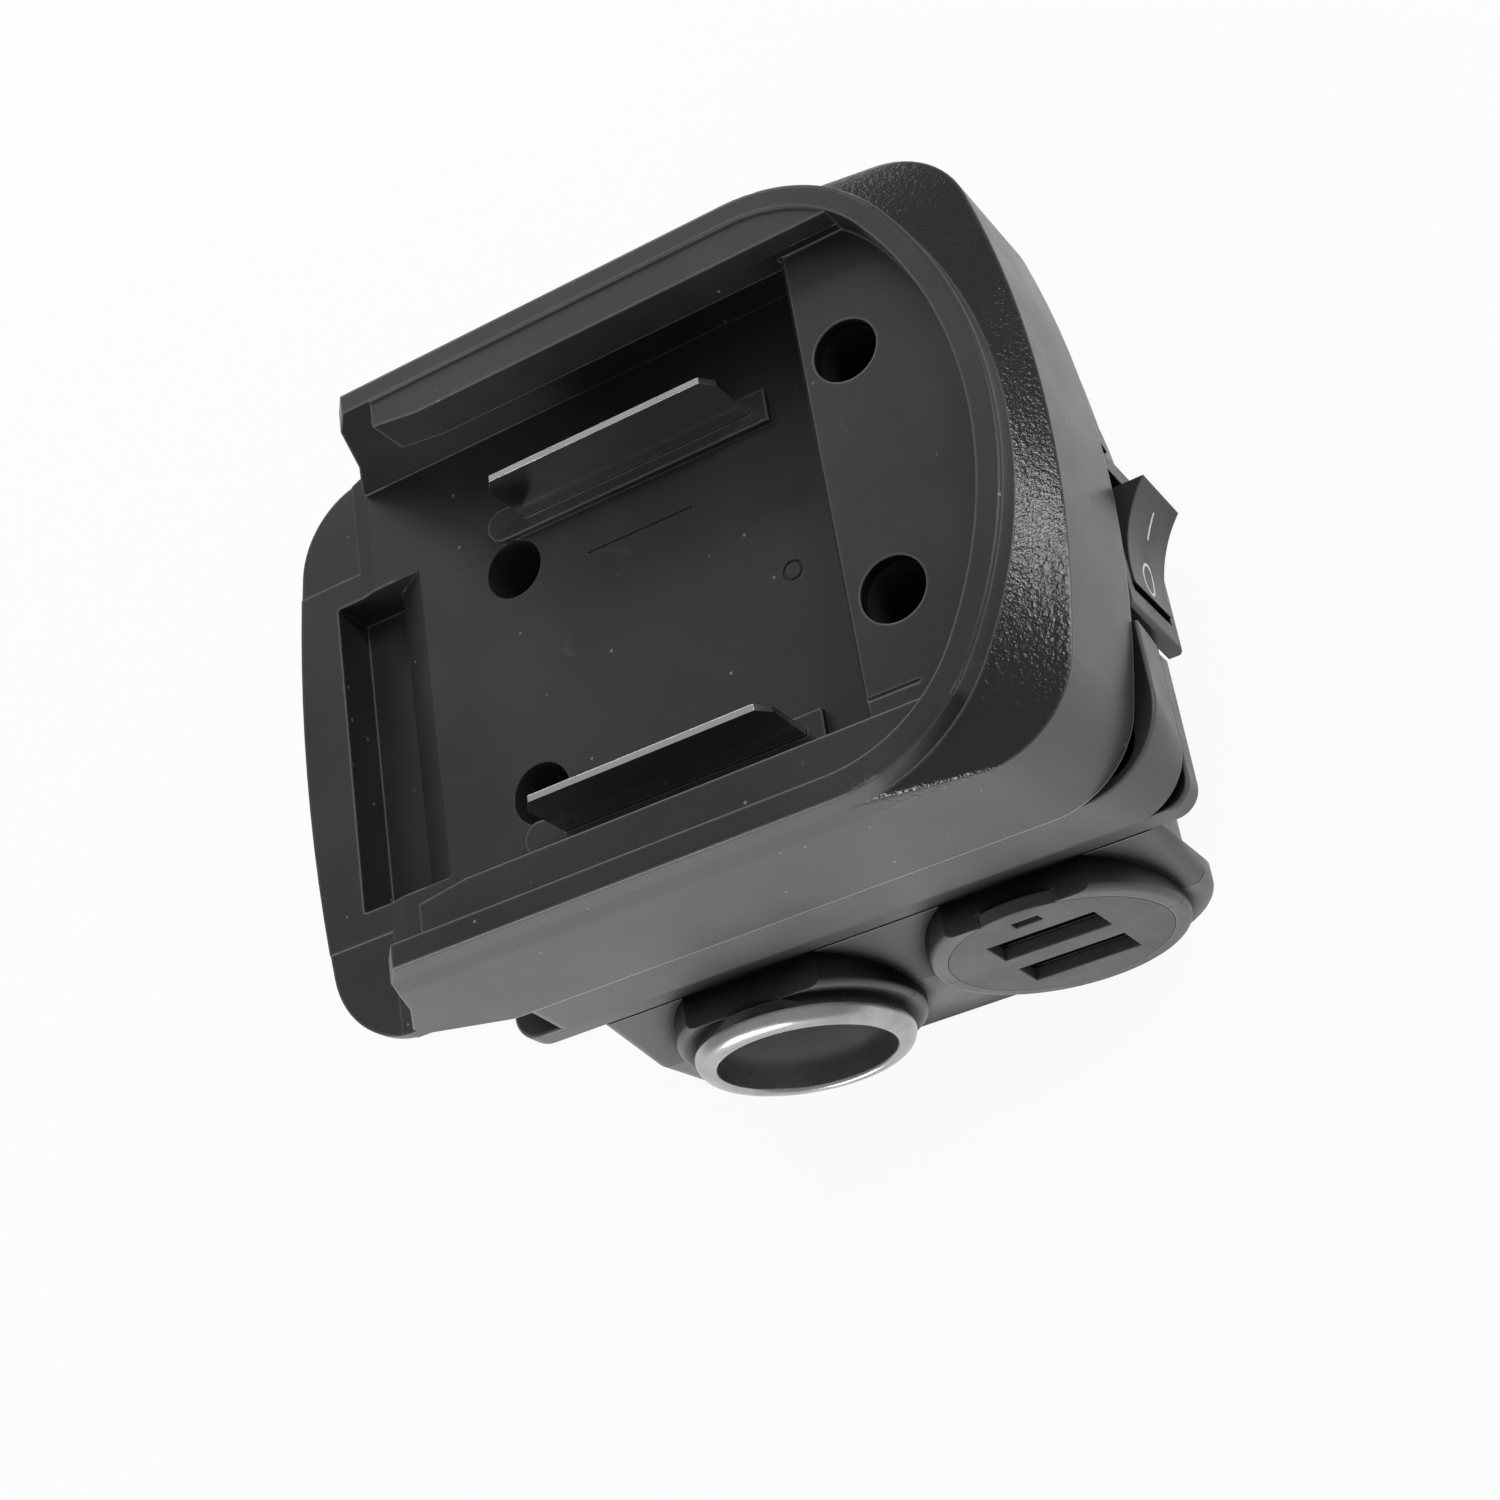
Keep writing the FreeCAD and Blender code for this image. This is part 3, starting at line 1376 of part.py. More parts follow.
def main():
    os.makedirs("parts", exist_ok=True)
    save("dock_shell", dock_shell())
    save("terminal_positive", terminal(1))
    save("terminal_negative", terminal(-1))
    save("mid_shell", mid_shell())
    save("body_upper", body_upper())
    save("body_lower", body_lower())
    save("socket_barrel", socket_barrel())
    save("socket_insulator", socket_insulator())
    save("centre_contact", centre_contact())
    save("centre_terminal", centre_terminal())
    save("ground_terminal", ground_terminal())
    save("usb_panel", usb_panel())
    save("usb_port_upper", usb_port(port_centres()[0]))
    save("usb_port_lower", usb_port(port_centres()[1]))
    save("usb_tongues", Part.makeCompound(usb_tongues()))
    save("usb_pins", Part.makeCompound(usb_pins()))
    save("usb_board", usb_board())
    save("led_lens", led_lens())
    save("led_legs", Part.makeCompound(led_legs()))
    save("switch_housing", at_switch(switch_housing()))
    save("switch_rocker", at_switch(switch_rocker()))
    save("switch_plunger", at_switch(switch_plunger()))
    save("plunger_spring", at_switch(plunger_spring()))
    save("contact_lever", at_switch(contact_lever()))
    save("switch_common_terminal", at_switch(switch_common_terminal()))
    save("switch_load_terminal", at_switch(switch_load_terminal()))
    save("converter_board", converter_board())
    save("inductor", inductor())
    save("capacitors", Part.makeCompound(capacitors()))
    save("regulator_chips", Part.makeCompound(regulator_chips()))
    save("board_fuse", board_fuse())
    save("dock_screws", Part.makeCompound(dock_screws()))
    save("body_screws", Part.makeCompound(body_screws()))
    save("wire_battery_positive", wire_battery_positive())
    save("wire_battery_negative", wire_battery_negative())
    save("wire_switch_load", wire_switch_load())
    save("wire_socket_positive", wire_socket_positive())
    save("wire_socket_negative", wire_socket_negative())
    save("wires_usb", Part.makeCompound(wires_usb()))
    for name, shape in NODES.items():
        span = shape.BoundBox
        print("%-24s solids %d valid %s vol %9.1f  x %.1f..%.1f y %.1f..%.1f z %.1f..%.1f" % (
            name, len(shape.Solids), shape.isValid(), shape.Volume, span.XMin, span.XMax,
            span.YMin, span.YMax, span.ZMin, span.ZMax))
        shape.exportStep("parts/" + name + ".step")


main()
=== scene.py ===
import json
import math

import bmesh
import bpy
from mathutils import Matrix, Vector


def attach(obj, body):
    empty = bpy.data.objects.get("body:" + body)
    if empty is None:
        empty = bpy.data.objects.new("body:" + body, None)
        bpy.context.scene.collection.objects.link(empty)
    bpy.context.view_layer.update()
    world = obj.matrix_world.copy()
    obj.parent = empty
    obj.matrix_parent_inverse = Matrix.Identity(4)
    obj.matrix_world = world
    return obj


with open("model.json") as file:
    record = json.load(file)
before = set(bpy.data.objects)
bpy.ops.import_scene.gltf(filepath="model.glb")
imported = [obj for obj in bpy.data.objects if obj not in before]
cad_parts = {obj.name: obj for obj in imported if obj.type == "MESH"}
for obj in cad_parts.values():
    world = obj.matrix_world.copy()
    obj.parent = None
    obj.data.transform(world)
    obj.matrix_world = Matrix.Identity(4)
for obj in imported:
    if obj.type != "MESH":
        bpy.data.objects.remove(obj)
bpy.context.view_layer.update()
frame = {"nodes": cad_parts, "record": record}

# The battery adapter on a white table. The CAD nodes keep their shapes; each gets a
# procedural finish, and the switch gets its printed marks. All lengths are in metres.

MM = 0.001
NODES = frame["nodes"]

# The camera, solved from the photograph
CAMERA_PLACE = Vector((115.96, -142.88, 269.37)) * MM
CAMERA_RIGHT = Vector((0.85397, -0.14732, -0.49902))
CAMERA_UP = Vector((0.34145, 0.88235, 0.32383))
CAMERA_BACK = Vector((0.39261, -0.44693, 0.80381))
CAMERA_LENS = 60.85
CAMERA_CLIP = (0.01, 20)
SENSOR = 36.0

# Heights and places that the finishes follow
SKIRT_Z = 41.8 * MM
FLOOR_Z = 48.0 * MM
BAND_TOP_Z = 58.0 * MM
RIM_FACE_Z = 60.8 * MM
SHOULDER_X = 22.0 * MM
SIDE_Y = 36.9 * MM
POCKET_X = -36.0 * MM
BAND_X = 38.0 * MM
COLLAR_Y = -40.9 * MM
SOCKET_Z = 17.9 * MM

# The parts of a noise's range that become a full change of shade or of roughness
FLOW_SPAN = (0.35, 0.65)
SMEAR_SPAN = (0.3, 0.7)
NOISE_MIDDLE = 0.5


def grey(level, tint=1.0):
    return (level, level, level * tint, 1.0)


# Edges: the rays that round them and that find the wide edge mask, and how far the rounded normal
# leans away from the flat one, as a cosine, where the edge mask begins and where it is full
BEVEL_SAMPLES = 6
WIDE_EDGE_SAMPLES = 4
EDGE_MASK_SPAN = (0.985, 0.84)

# Hollows: the rays that find them, and the open share at which the mask is full and empty
HOLLOW_SAMPLES = 8
HOLLOW_SPAN = (0.5, 0.95)

# Dust specks: their solid core, and which cells hold one
SPECK_CORE = 0.4
SPECK_SHARE = (0.8, 0.86)

# Scratches: the slow noise that they follow, their solid core, and what breaks them up
SCRATCH_PATH = dict(scale=16, detail=1, roughness=0.4, stretch=(1, 2.2, 0.7))
SCRATCH_CORE = 0.3
BREAK_NOISE = dict(scale=90, detail=2)
BREAK_SPAN = (0.6, 0.66)


class Nodes:
    """A material's node tree, with short calls for the nodes that the finishes share."""

    def __init__(self, name):
        self.material = bpy.data.materials.new(name)
        self.material.use_nodes = True
        self.tree = self.material.node_tree
        self.tree.nodes.clear()
        self.output = self.add("ShaderNodeOutputMaterial")
        self.shader = self.add("ShaderNodeBsdfPrincipled")
        self.link(self.shader.outputs["BSDF"], self.output.inputs["Surface"])
        self.coords = self.add("ShaderNodeTexCoord").outputs["Object"]

    def add(self, kind, **settings):
        node = self.tree.nodes.new(kind)
        for key, value in settings.items():
            setattr(node, key, value)
        return node

    def link(self, source, target):
        self.tree.links.new(source, target)

    # Links a socket to an input, or sets the input to a plain value
    def put(self, socket, value):
        if isinstance(value, bpy.types.NodeSocket):
            self.link(value, socket)
        else:
            socket.default_value = value

    def noise(self, scale, detail=2.0, roughness=0.5, stretch=(1, 1, 1)):
        mapping = self.add("ShaderNodeMapping")
        mapping.inputs["Scale"].default_value = stretch
        self.link(self.coords, mapping.inputs["Vector"])
        node = self.add("ShaderNodeTexNoise")
        self.link(mapping.outputs["Vector"], node.inputs["Vector"])
        node.inputs["Scale"].default_value = scale
        node.inputs["Detail"].default_value = detail
        node.inputs["Roughness"].default_value = roughness
        return node.outputs["Fac"]

    # Small round spots in some of a pattern's cells
    def specks(self, scale, size):
        node = self.add("ShaderNodeTexVoronoi")
        self.link(self.coords, node.inputs["Vector"])
        node.inputs["Scale"].default_value = scale
        near = self.ramp(node.outputs["Distance"], (size, size * SPECK_CORE))
        rare = self.add("ShaderNodeSeparateColor")
        self.link(node.outputs["Color"], rare.inputs["Color"])
        return self.times(near, self.ramp(rare.outputs["Red"], SPECK_SHARE))

    # Hair-thin lines where a slow noise crosses its middle, broken up by a quicker one
    def scratches(self, width):
        line = self.noise(**SCRATCH_PATH)
        thin = self.ramp(self.distance(line, NOISE_MIDDLE), (width, width * SCRATCH_CORE))
        return self.times(thin, self.ramp(self.noise(**BREAK_NOISE), BREAK_SPAN))

    # A soft step: the result goes from one end to the other as the value crosses the span
    def ramp(self, value, span, result=(0, 1)):
        node = self.add("ShaderNodeMapRange", interpolation_type="SMOOTHSTEP")
        self.put(node.inputs["Value"], value)
        node.inputs["From Min"].default_value = span[0]
        node.inputs["From Max"].default_value = span[1]
        node.inputs["To Min"].default_value = result[0]
        node.inputs["To Max"].default_value = result[1]
        return node.outputs["Result"]

    def math(self, operation, a, b=0.0):
        node = self.add("ShaderNodeMath", operation=operation)
        self.put(node.inputs[0], a)
        self.put(node.inputs[1], b)
        return node.outputs["Value"]

    def times(self, a, b):
        return self.math("MULTIPLY", a, b)

    def distance(self, a, b):
        return self.math("ABSOLUTE", self.math("SUBTRACT", a, b))

    def mix(self, factor, a, b):
        node = self.add("ShaderNodeMix", data_type="RGBA")
        self.put(node.inputs["Factor"], factor)
        self.put(node.inputs["A"], a)
        self.put(node.inputs["B"], b)
        return node.outputs["Result"]

    def split(self, vector):
        node = self.add("ShaderNodeSeparateXYZ")
        self.link(vector, node.inputs["Vector"])
        return node.outputs["X"], node.outputs["Y"], node.outputs["Z"]

    def place(self):
        return self.split(self.coords)

    # How far a face looks up: 1 for a level one and 0 for a wall
    def tilt(self):
        return self.split(self.add("ShaderNodeNewGeometry").outputs["Normal"])[2]

    def bevel(self, radius, samples=BEVEL_SAMPLES):
        node = self.add("ShaderNodeBevel", samples=samples)
        node.inputs["Radius"].default_value = radius
        return node.outputs["Normal"]

    # Rounded edges, and a mask that is high along them
    def edges(self, radius, mask_radius=None):
        rounded = self.bevel(radius)
        wide = self.bevel(mask_radius, WIDE_EDGE_SAMPLES) if mask_radius else rounded
        flat = self.add("ShaderNodeNewGeometry").outputs["True Normal"]
        dot = self.add("ShaderNodeVectorMath", operation="DOT_PRODUCT")
        self.link(wide, dot.inputs[0])
        self.link(flat, dot.inputs[1])
        return rounded, self.ramp(dot.outputs["Value"], EDGE_MASK_SPAN)

    # High where a face sees its own object close in front of it
    def hollow(self, reach):
        node = self.add("ShaderNodeAmbientOcclusion", samples=HOLLOW_SAMPLES)
        node.inputs["Distance"].default_value = reach
        return self.ramp(node.outputs["AO"], HOLLOW_SPAN, (1, 0))

    def bump(self, height, distance, normal=None):
        node = self.add("ShaderNodeBump")
        node.inputs["Distance"].default_value = distance
        node.inputs["Strength"].default_value = 1.0
        self.link(height, node.inputs["Height"])
        if normal is not None:
            self.link(normal, node.inputs["Normal"])
        return node.outputs["Normal"]

    # Fills the shader's inputs, whose names are given with underscores for spaces
    def set(self, **inputs):
        for name, value in inputs.items():
            self.put(self.shader.inputs[name.replace("_", " ")], value)
        return self.material


# Moulded plastic: the shades along the flow, the lighter edges (partly wear, partly a painted
# edge highlight), dust, seam, and painted shade in the hollows
FLOW_SHADES = (0.85, 1.18)
WORN_AND_LIT_EDGE_STRENGTH = 0.6
WORN_AND_LIT_EDGE_GAIN = 4
DUST = dict(scale=420, size=0.12)
DUST_GREY = 0.4
SEAM_SPAN = (0.14 * MM, 0.06 * MM)
SEAM_GREY = 0.002
# Painted shade in the hollows: how far it reaches, its near-black grey, and the weaker reflection
# left there
HOLLOW_SHADE_REACH = 9 * MM
HOLLOW_SHADE_GREY = 0.004
PLAIN_GLOSS = 0.5
HOLLOW_SHADE_GLOSS = 0.08
ROUGH_BELOW = 0.06
ROUGH_ABOVE = 0.07
ROUGH_GRAIN = 0.05


# Moulded black plastic: faint flow marks, a fine grain, lighter edges that are partly wear and
# partly a painted edge highlight, a little dust, and, where asked, painted shade in its hollows
def moulded_plastic(name, level, roughness, grain, bevel=0.35 * MM, dust=0.0, seam_z=None,
                    edge_grey_limit=0.2, painted_hollow_shade=False):
    n = Nodes(name)
    rounded, edge_mask = n.edges(bevel)
    flow = n.noise(scale=45, detail=3, roughness=0.55, stretch=(1, 1, 0.6))
    dark, pale = FLOW_SHADES
    colour = n.mix(n.ramp(flow, FLOW_SPAN), grey(level * dark), grey(level * pale))
    # Lighter edges, partly wear and partly a painted edge highlight; a low limit turns them into
    # a dark joint line instead
    colour = n.mix(n.times(edge_mask, WORN_AND_LIT_EDGE_STRENGTH), colour, grey(min(level * WORN_AND_LIT_EDGE_GAIN, edge_grey_limit)))
    if dust:
        colour = n.mix(n.times(n.specks(**DUST), dust), colour, grey(DUST_GREY))
    if seam_z is not None:
        away = n.distance(n.place()[2], seam_z)
        colour = n.mix(n.ramp(away, SEAM_SPAN), colour, grey(SEAM_GREY))
    fine = n.noise(scale=3200, detail=3, roughness=0.6)
    smear = n.noise(scale=120, detail=4, roughness=0.6)
    rough = n.ramp(smear, SMEAR_SPAN, (roughness - ROUGH_BELOW, roughness + ROUGH_ABOVE))
    rough = n.math("ADD", rough, n.times(n.noise(scale=900), ROUGH_GRAIN))
    gloss = PLAIN_GLOSS
    # Painted shade: hollows that the part's own faces close in are painted near-black and reflect
    # less
    if painted_hollow_shade:
        hollow = n.hollow(HOLLOW_SHADE_REACH)
        colour = n.mix(hollow, colour, grey(HOLLOW_SHADE_GREY))
        gloss = n.ramp(hollow, (0, 1), (PLAIN_GLOSS, HOLLOW_SHADE_GLOSS))
    normal = n.bump(fine, grain, rounded)
    return n.set(Base_Color=colour, Roughness=rough, Normal=normal, Specular_IOR_Level=gloss)


# The dock's shoulder: the slope at the round end, between the rim and the outer band
SHOULDER_LOW = (BAND_TOP_Z - 0.1 * MM, BAND_TOP_Z + 0.2 * MM)
SHOULDER_HIGH = (RIM_FACE_Z + 0.1 * MM, RIM_FACE_Z - 0.1 * MM)
SHOULDER_END = (SHOULDER_X, SHOULDER_X + 8 * MM)
SHOULDER_TILT = (0.985, 0.95)

# The dock's outer walls: their sides and end, how upright they are, and the height of the pale
# highlight line painted along their foot
OUTER_SIDE = (SIDE_Y - 0.5 * MM, SIDE_Y)
OUTER_END = (BAND_X, BAND_X + 1 * MM)
BAND_TILT = (0.5, 0.3)
HIGHLIGHT_LINE_HEIGHT = (SKIRT_Z + 0.45 * MM, SKIRT_Z + 0.2 * MM)

# What is sunk in the dock's floor, as far as the latch pocket, and the strength of the lighter
# edges on the open parts and on the sunk ones; the lighter edges are partly wear and partly a
# painted edge highlight
SUNK_HEIGHT = (FLOOR_Z + 0.9 * MM, FLOOR_Z + 0.3 * MM)
SUNK_START = (POCKET_X - 0.5 * MM, POCKET_X + 0.5 * MM)
EDGE_STRENGTH = (0.8, 0.12)

# The dock's shades, roughness and relief
DOCK_BEVEL = 0.25 * MM
DOCK_EDGE_MASK_RADIUS = 0.55 * MM
DOCK_GREYS = (0.014, 0.026)
SHOULDER_GREY = 0.009
# Painted sheen: the outer band's paler grey stands in for the white table's reflection
BAND_PAINTED_SHEEN_GREY = 0.058
# Painted highlight: the pale line along the band's foot
HIGHLIGHT_LINE_GREY = 0.45
# Lighter edges, partly wear and partly a painted edge highlight
EDGE_GREY = 0.17
DOCK_DUST = dict(scale=420, size=0.11)
DOCK_DUST_STRENGTH = 0.5
SCRATCH_WIDTH = 0.0022
SCRATCH_STRENGTH = 0.12
SCRATCH_GREY = 0.12
DOCK_ROUGH = (0.37, 0.44)
SHOULDER_SHINE = 0.23
BAND_SHINE = 0.08
FINE_SHARE = 0.3
PEEL_SHARE = 1.8
DOCK_RELIEF = 0.055 * MM


# The dock: matt floor and rails, a glossy orange-peel shoulder, and a smooth outer band that is
# painted paler as a stand-in for the white table's reflection, with a pale highlight line painted
# along its foot
def dock_plastic():
    n = Nodes("dock_plastic")
    x, y, z = n.place()
    tilt = n.tilt()
    rounded, edge_mask = n.edges(DOCK_BEVEL, DOCK_EDGE_MASK_RADIUS)
    belt = n.times(n.ramp(z, SHOULDER_LOW), n.ramp(z, SHOULDER_HIGH))
    slope = n.times(n.ramp(x, SHOULDER_END), n.ramp(tilt, SHOULDER_TILT))
    shoulder = n.times(belt, slope)
    outer = n.math("MAXIMUM", n.ramp(n.math("ABSOLUTE", y), OUTER_SIDE), n.ramp(x, OUTER_END))
    # The upright outer walls are smoother, and a paler grey is painted on them as a stand-in for
    # the white table's reflection
    band = n.times(outer, n.ramp(tilt, BAND_TILT))
    # A pale line painted along the foot of the outer walls as an edge highlight
    painted_highlight_line = n.times(outer, n.ramp(z, HIGHLIGHT_LINE_HEIGHT))
    sunk = n.times(n.ramp(z, SUNK_HEIGHT), n.ramp(x, SUNK_START))
    # The lighter edges, partly wear and partly a painted edge highlight, are kept faint on the
    # sunk parts
    edge_mask = n.times(edge_mask, n.ramp(sunk, (0, 1), EDGE_STRENGTH))
    dust = n.times(n.specks(**DOCK_DUST), DOCK_DUST_STRENGTH)
    scratch = n.times(n.scratches(SCRATCH_WIDTH), SCRATCH_STRENGTH)

    dark, pale = DOCK_GREYS
    flow = n.noise(scale=38, detail=3, roughness=0.55)
    colour = n.mix(n.ramp(flow, FLOW_SPAN), grey(dark), grey(pale))
    coats = ((shoulder, SHOULDER_GREY), (band, BAND_PAINTED_SHEEN_GREY), (painted_highlight_line, HIGHLIGHT_LINE_GREY),
             (edge_mask, EDGE_GREY), (dust, DUST_GREY), (scratch, SCRATCH_GREY))
    for mask, level in coats:
        colour = n.mix(mask, colour, grey(level))

    smear = n.noise(scale=90, detail=4, roughness=0.6)
    rough = n.ramp(smear, SMEAR_SPAN, DOCK_ROUGH)
    rough = n.math("SUBTRACT", rough, n.times(shoulder, SHOULDER_SHINE))
    rough = n.math("SUBTRACT", rough, n.times(band, BAND_SHINE))

    fine = n.noise(scale=3400, detail=3, roughness=0.6)
    peel = n.times(n.noise(scale=1900, detail=2, roughness=0.6), shoulder)
    height = n.math("ADD", n.times(fine, FINE_SHARE), n.times(peel, PEEL_SHARE))
    normal = n.bump(height, DOCK_RELIEF, rounded)
    return n.set(Base_Color=colour, Roughness=rough, Normal=normal)


# Metals: the stain's span and how dark it gets for a metal's tarnish, the smooth and rough
# ends as shares of its roughness, and the share and depth of the brushed lines
STAIN_SPAN = (0.45, 0.7)
STAIN_DARK = 1.6
METAL_ROUGH = (0.8, 1.35)
LINES_ROUGH = 0.3
LINES_RELIEF = 0.004 * MM


def shaded(colour, factor):
    return tuple(c * factor for c in colour[:3]) + (1.0,)


# Plain and plated metals: fine lines along the brushing, and a duller stain
def metal(name, colour, roughness, brushed=(1, 1, 1), bevel=0.1 * MM, tarnish=0.15):
    n = Nodes(name)
    rounded = n.bevel(bevel)
    lines = n.noise(scale=1500, detail=4, roughness=0.6, stretch=brushed)
    stain = n.noise(scale=160, detail=4, roughness=0.6)
    dull = shaded(colour, 1 - tarnish * STAIN_DARK)
    shade = n.mix(n.ramp(stain, STAIN_SPAN), colour, dull)
    rough = n.ramp(stain, SMEAR_SPAN, [roughness * share for share in METAL_ROUGH])
    rough = n.math("ADD", rough, n.times(lines, roughness * LINES_ROUGH))
    normal = n.bump(lines, LINES_RELIEF, rounded)
    return n.set(Base_Color=shade, Metallic=1.0, Roughness=rough, Normal=normal)


# The socket's shell: where the bore begins behind the rim, and the finish of the two
BORE_START = (COLLAR_Y - 0.6 * MM, COLLAR_Y + 1.5 * MM)
RIM_STAIN_SPAN = (0.4, 0.7)
RIM_GREYS = (0.44, 0.36)
BORE_GREY = 0.58
RIM_ROUGH = (0.24, 0.32)
BORE_ROUGH = 0.2
RINGS_RELIEF = 0.006 * MM


# The socket's shell: a bright rolled rim, and a duller plated bore behind it
def socket_metal():
    n = Nodes("socket_chrome")
    inside = n.ramp(n.place()[1], BORE_START)
    stain = n.noise(scale=220, detail=4, roughness=0.6)
    bright, stained = RIM_GREYS
    rim = n.mix(n.ramp(stain, RIM_STAIN_SPAN), grey(bright), grey(stained))
    colour = n.mix(inside, rim, grey(BORE_GREY))
    rough = n.ramp(stain, SMEAR_SPAN, RIM_ROUGH)
    rough = n.math("ADD", rough, n.times(inside, BORE_ROUGH))
    rings = n.noise(scale=700, detail=3, roughness=0.5, stretch=(0.2, 3, 0.2))
    normal = n.bump(rings, RINGS_RELIEF)
    return n.set(Base_Color=colour, Metallic=1.0, Roughness=rough, Normal=normal)


# The boards: their lacquer, the tracks that show through it, and the bare edges
BOARD_BEVEL = 0.1 * MM
LACQUER_GREEN = (0.012, 0.11, 0.045, 1)
TRACK_GREEN = (0.03, 0.2, 0.08, 1)
TRACK_SPAN = (0.52, 0.55)
TRACK_RELIEF = 0.02 * MM
BARE_BOARD = (0.5, 0.45, 0.28, 1)
BARE_STRENGTH = 0.8
BOARD_ROUGH = (0.25, 0.4)


def board_lacquer():
    n = Nodes("circuit_board")
    rounded, edge_mask = n.edges(BOARD_BEVEL)
    weave = n.noise(scale=900)
    tracks = n.ramp(n.noise(scale=260, detail=1, roughness=0.3, stretch=(1, 0.25, 1)), TRACK_SPAN)
    colour = n.mix(tracks, LACQUER_GREEN, TRACK_GREEN)
    colour = n.mix(n.times(edge_mask, BARE_STRENGTH), colour, BARE_BOARD)
    return n.set(Base_Color=colour, Roughness=n.ramp(weave, SMEAR_SPAN, BOARD_ROUGH),
                 Normal=n.bump(tracks, TRACK_RELIEF, rounded))


# The wires' insulation, the light's lens and the printed ink
INSULATION_DARK = 0.7
INSULATION_ROUGH = (0.4, 0.55)
LENS_COLOURS = ((0.7, 0.75, 0.8, 1), (0.85, 0.88, 0.9, 1))
LENS_ROUGH = (0.08, 0.16)
LENS_CLEAR = 0.5
INK_SPAN = (0.35, 0.6)
INK_GREYS = (0.72, 0.85)
INK_ROUGH = (0.45, 0.6)
SOFT_RELIEF = 0.01 * MM


def insulation(name, colour):
    n = Nodes(name)
    smear = n.noise(scale=400, detail=3, roughness=0.6)
    shade = n.mix(n.ramp(smear, SMEAR_SPAN), colour, shaded(colour, INSULATION_DARK))
    return n.set(Base_Color=shade, Roughness=n.ramp(smear, SMEAR_SPAN, INSULATION_ROUGH),
                 Normal=n.bump(n.noise(scale=1500), SOFT_RELIEF))


def lens():
    n = Nodes("led_lens")
    cloud = n.noise(scale=600)
    clear, milky = LENS_COLOURS
    return n.set(Base_Color=n.mix(n.ramp(cloud, SMEAR_SPAN), clear, milky),
                 Roughness=n.ramp(cloud, SMEAR_SPAN, LENS_ROUGH),
                 Transmission_Weight=LENS_CLEAR)


def print_ink():
    n = Nodes("white_ink")
    thin = n.noise(scale=1800, detail=3, roughness=0.6)
    faint, full = INK_GREYS
    return n.set(Base_Color=n.mix(n.ramp(thin, INK_SPAN), grey(faint), grey(full)),
                 Roughness=n.ramp(thin, SMEAR_SPAN, INK_ROUGH),
                 Normal=n.bump(thin, SOFT_RELIEF))


# Each plastic's grey, roughness and depth of grain, and what else sets it apart
PLASTICS = {
    # The case gets painted shade in its hollows
    "case_plastic": dict(level=0.08, roughness=0.36, grain=0.015 * MM, dust=0.25,
                         seam_z=SOCKET_Z, edge_grey_limit=0.4, painted_hollow_shade=True),
    "panel_plastic": dict(level=0.06, roughness=0.42, grain=0.02 * MM, dust=0.2, edge_grey_limit=0.003),
    "insulator": dict(level=0.02, roughness=0.6, grain=0.02 * MM),
    "port_insulator": dict(level=0.02, roughness=0.4, grain=0.01 * MM, bevel=0.1 * MM),
    "switch_plastic": dict(level=0.016, roughness=0.34, grain=0.01 * MM, bevel=0.25 * MM),
    "rocker_plastic": dict(level=0.02, roughness=0.36, grain=0.008 * MM, bevel=0.25 * MM),
    "chip_epoxy": dict(level=0.02, roughness=0.55, grain=0.02 * MM, bevel=0.1 * MM),
    "ferrite": dict(level=0.05, roughness=0.6, grain=0.04 * MM, bevel=0.2 * MM),
    "fuse_case": dict(level=0.12, roughness=0.35, grain=0.01 * MM, bevel=0.2 * MM),
}

# Each metal's colour and roughness, and what else sets it apart
METALS = {
    "blade_metal": dict(colour=grey(0.6, 0.97), roughness=0.17, brushed=(1, 1, 12),
                        bevel=0.12 * MM, tarnish=0.05),
    "contact_brass": dict(colour=(0.66, 0.5, 0.24, 1), roughness=0.26),
    "contact_gold": dict(colour=(0.8, 0.6, 0.25, 1), roughness=0.2),
    "port_steel": dict(colour=grey(0.05), roughness=0.35, brushed=(1, 8, 1)),
    "spring_steel": dict(colour=grey(0.5), roughness=0.25),
    "capacitor_can": dict(colour=(0.1, 0.11, 0.2, 1), roughness=0.35),
    "screw_steel": dict(colour=grey(0.3), roughness=0.35, brushed=(6, 6, 1)),
}

INSULATIONS = {
    "red_insulation": (0.5, 0.02, 0.02, 1),
    "black_insulation": (0.02, 0.02, 0.022, 1),
}


# One material for each slot of the record
def build_materials():
    found = {"dock_plastic": dock_plastic()}
    for name, look in PLASTICS.items():
        found[name] = moulded_plastic(name, **look)
    found["chrome"] = socket_metal()
    for name, look in METALS.items():
        found[name] = metal(name, **look)
    found["circuit_board"] = board_lacquer()
    found["led_lens"] = lens()
    for name, colour in INSULATIONS.items():
        found[name] = insulation(name, colour)
    return found


def dress_nodes(materials):
    slots = {part["node"]: part["material_slot"] for part in frame["record"]["subparts"]}
    for name, node in NODES.items():
        node.data.materials.clear()
        node.data.materials.append(materials[slots[name]])


def add_object(name, data):
    thing = bpy.data.objects.new(name, data)
    bpy.context.scene.collection.objects.link(thing)
    return thing


# The rocker at rest: its pivot, its tilt and the round dish of its face
SWITCH_Y = -6.4 * MM
SWITCH_Z = 34.2 * MM
PIVOT_X = 49.85 * MM
ROCKER_TILT = math.radians(-17)
ROCKER_HALF = 6.25 * MM
ROCKER_CREST = 3.8 * MM
ROCKER_DISH = 1.24 * MM

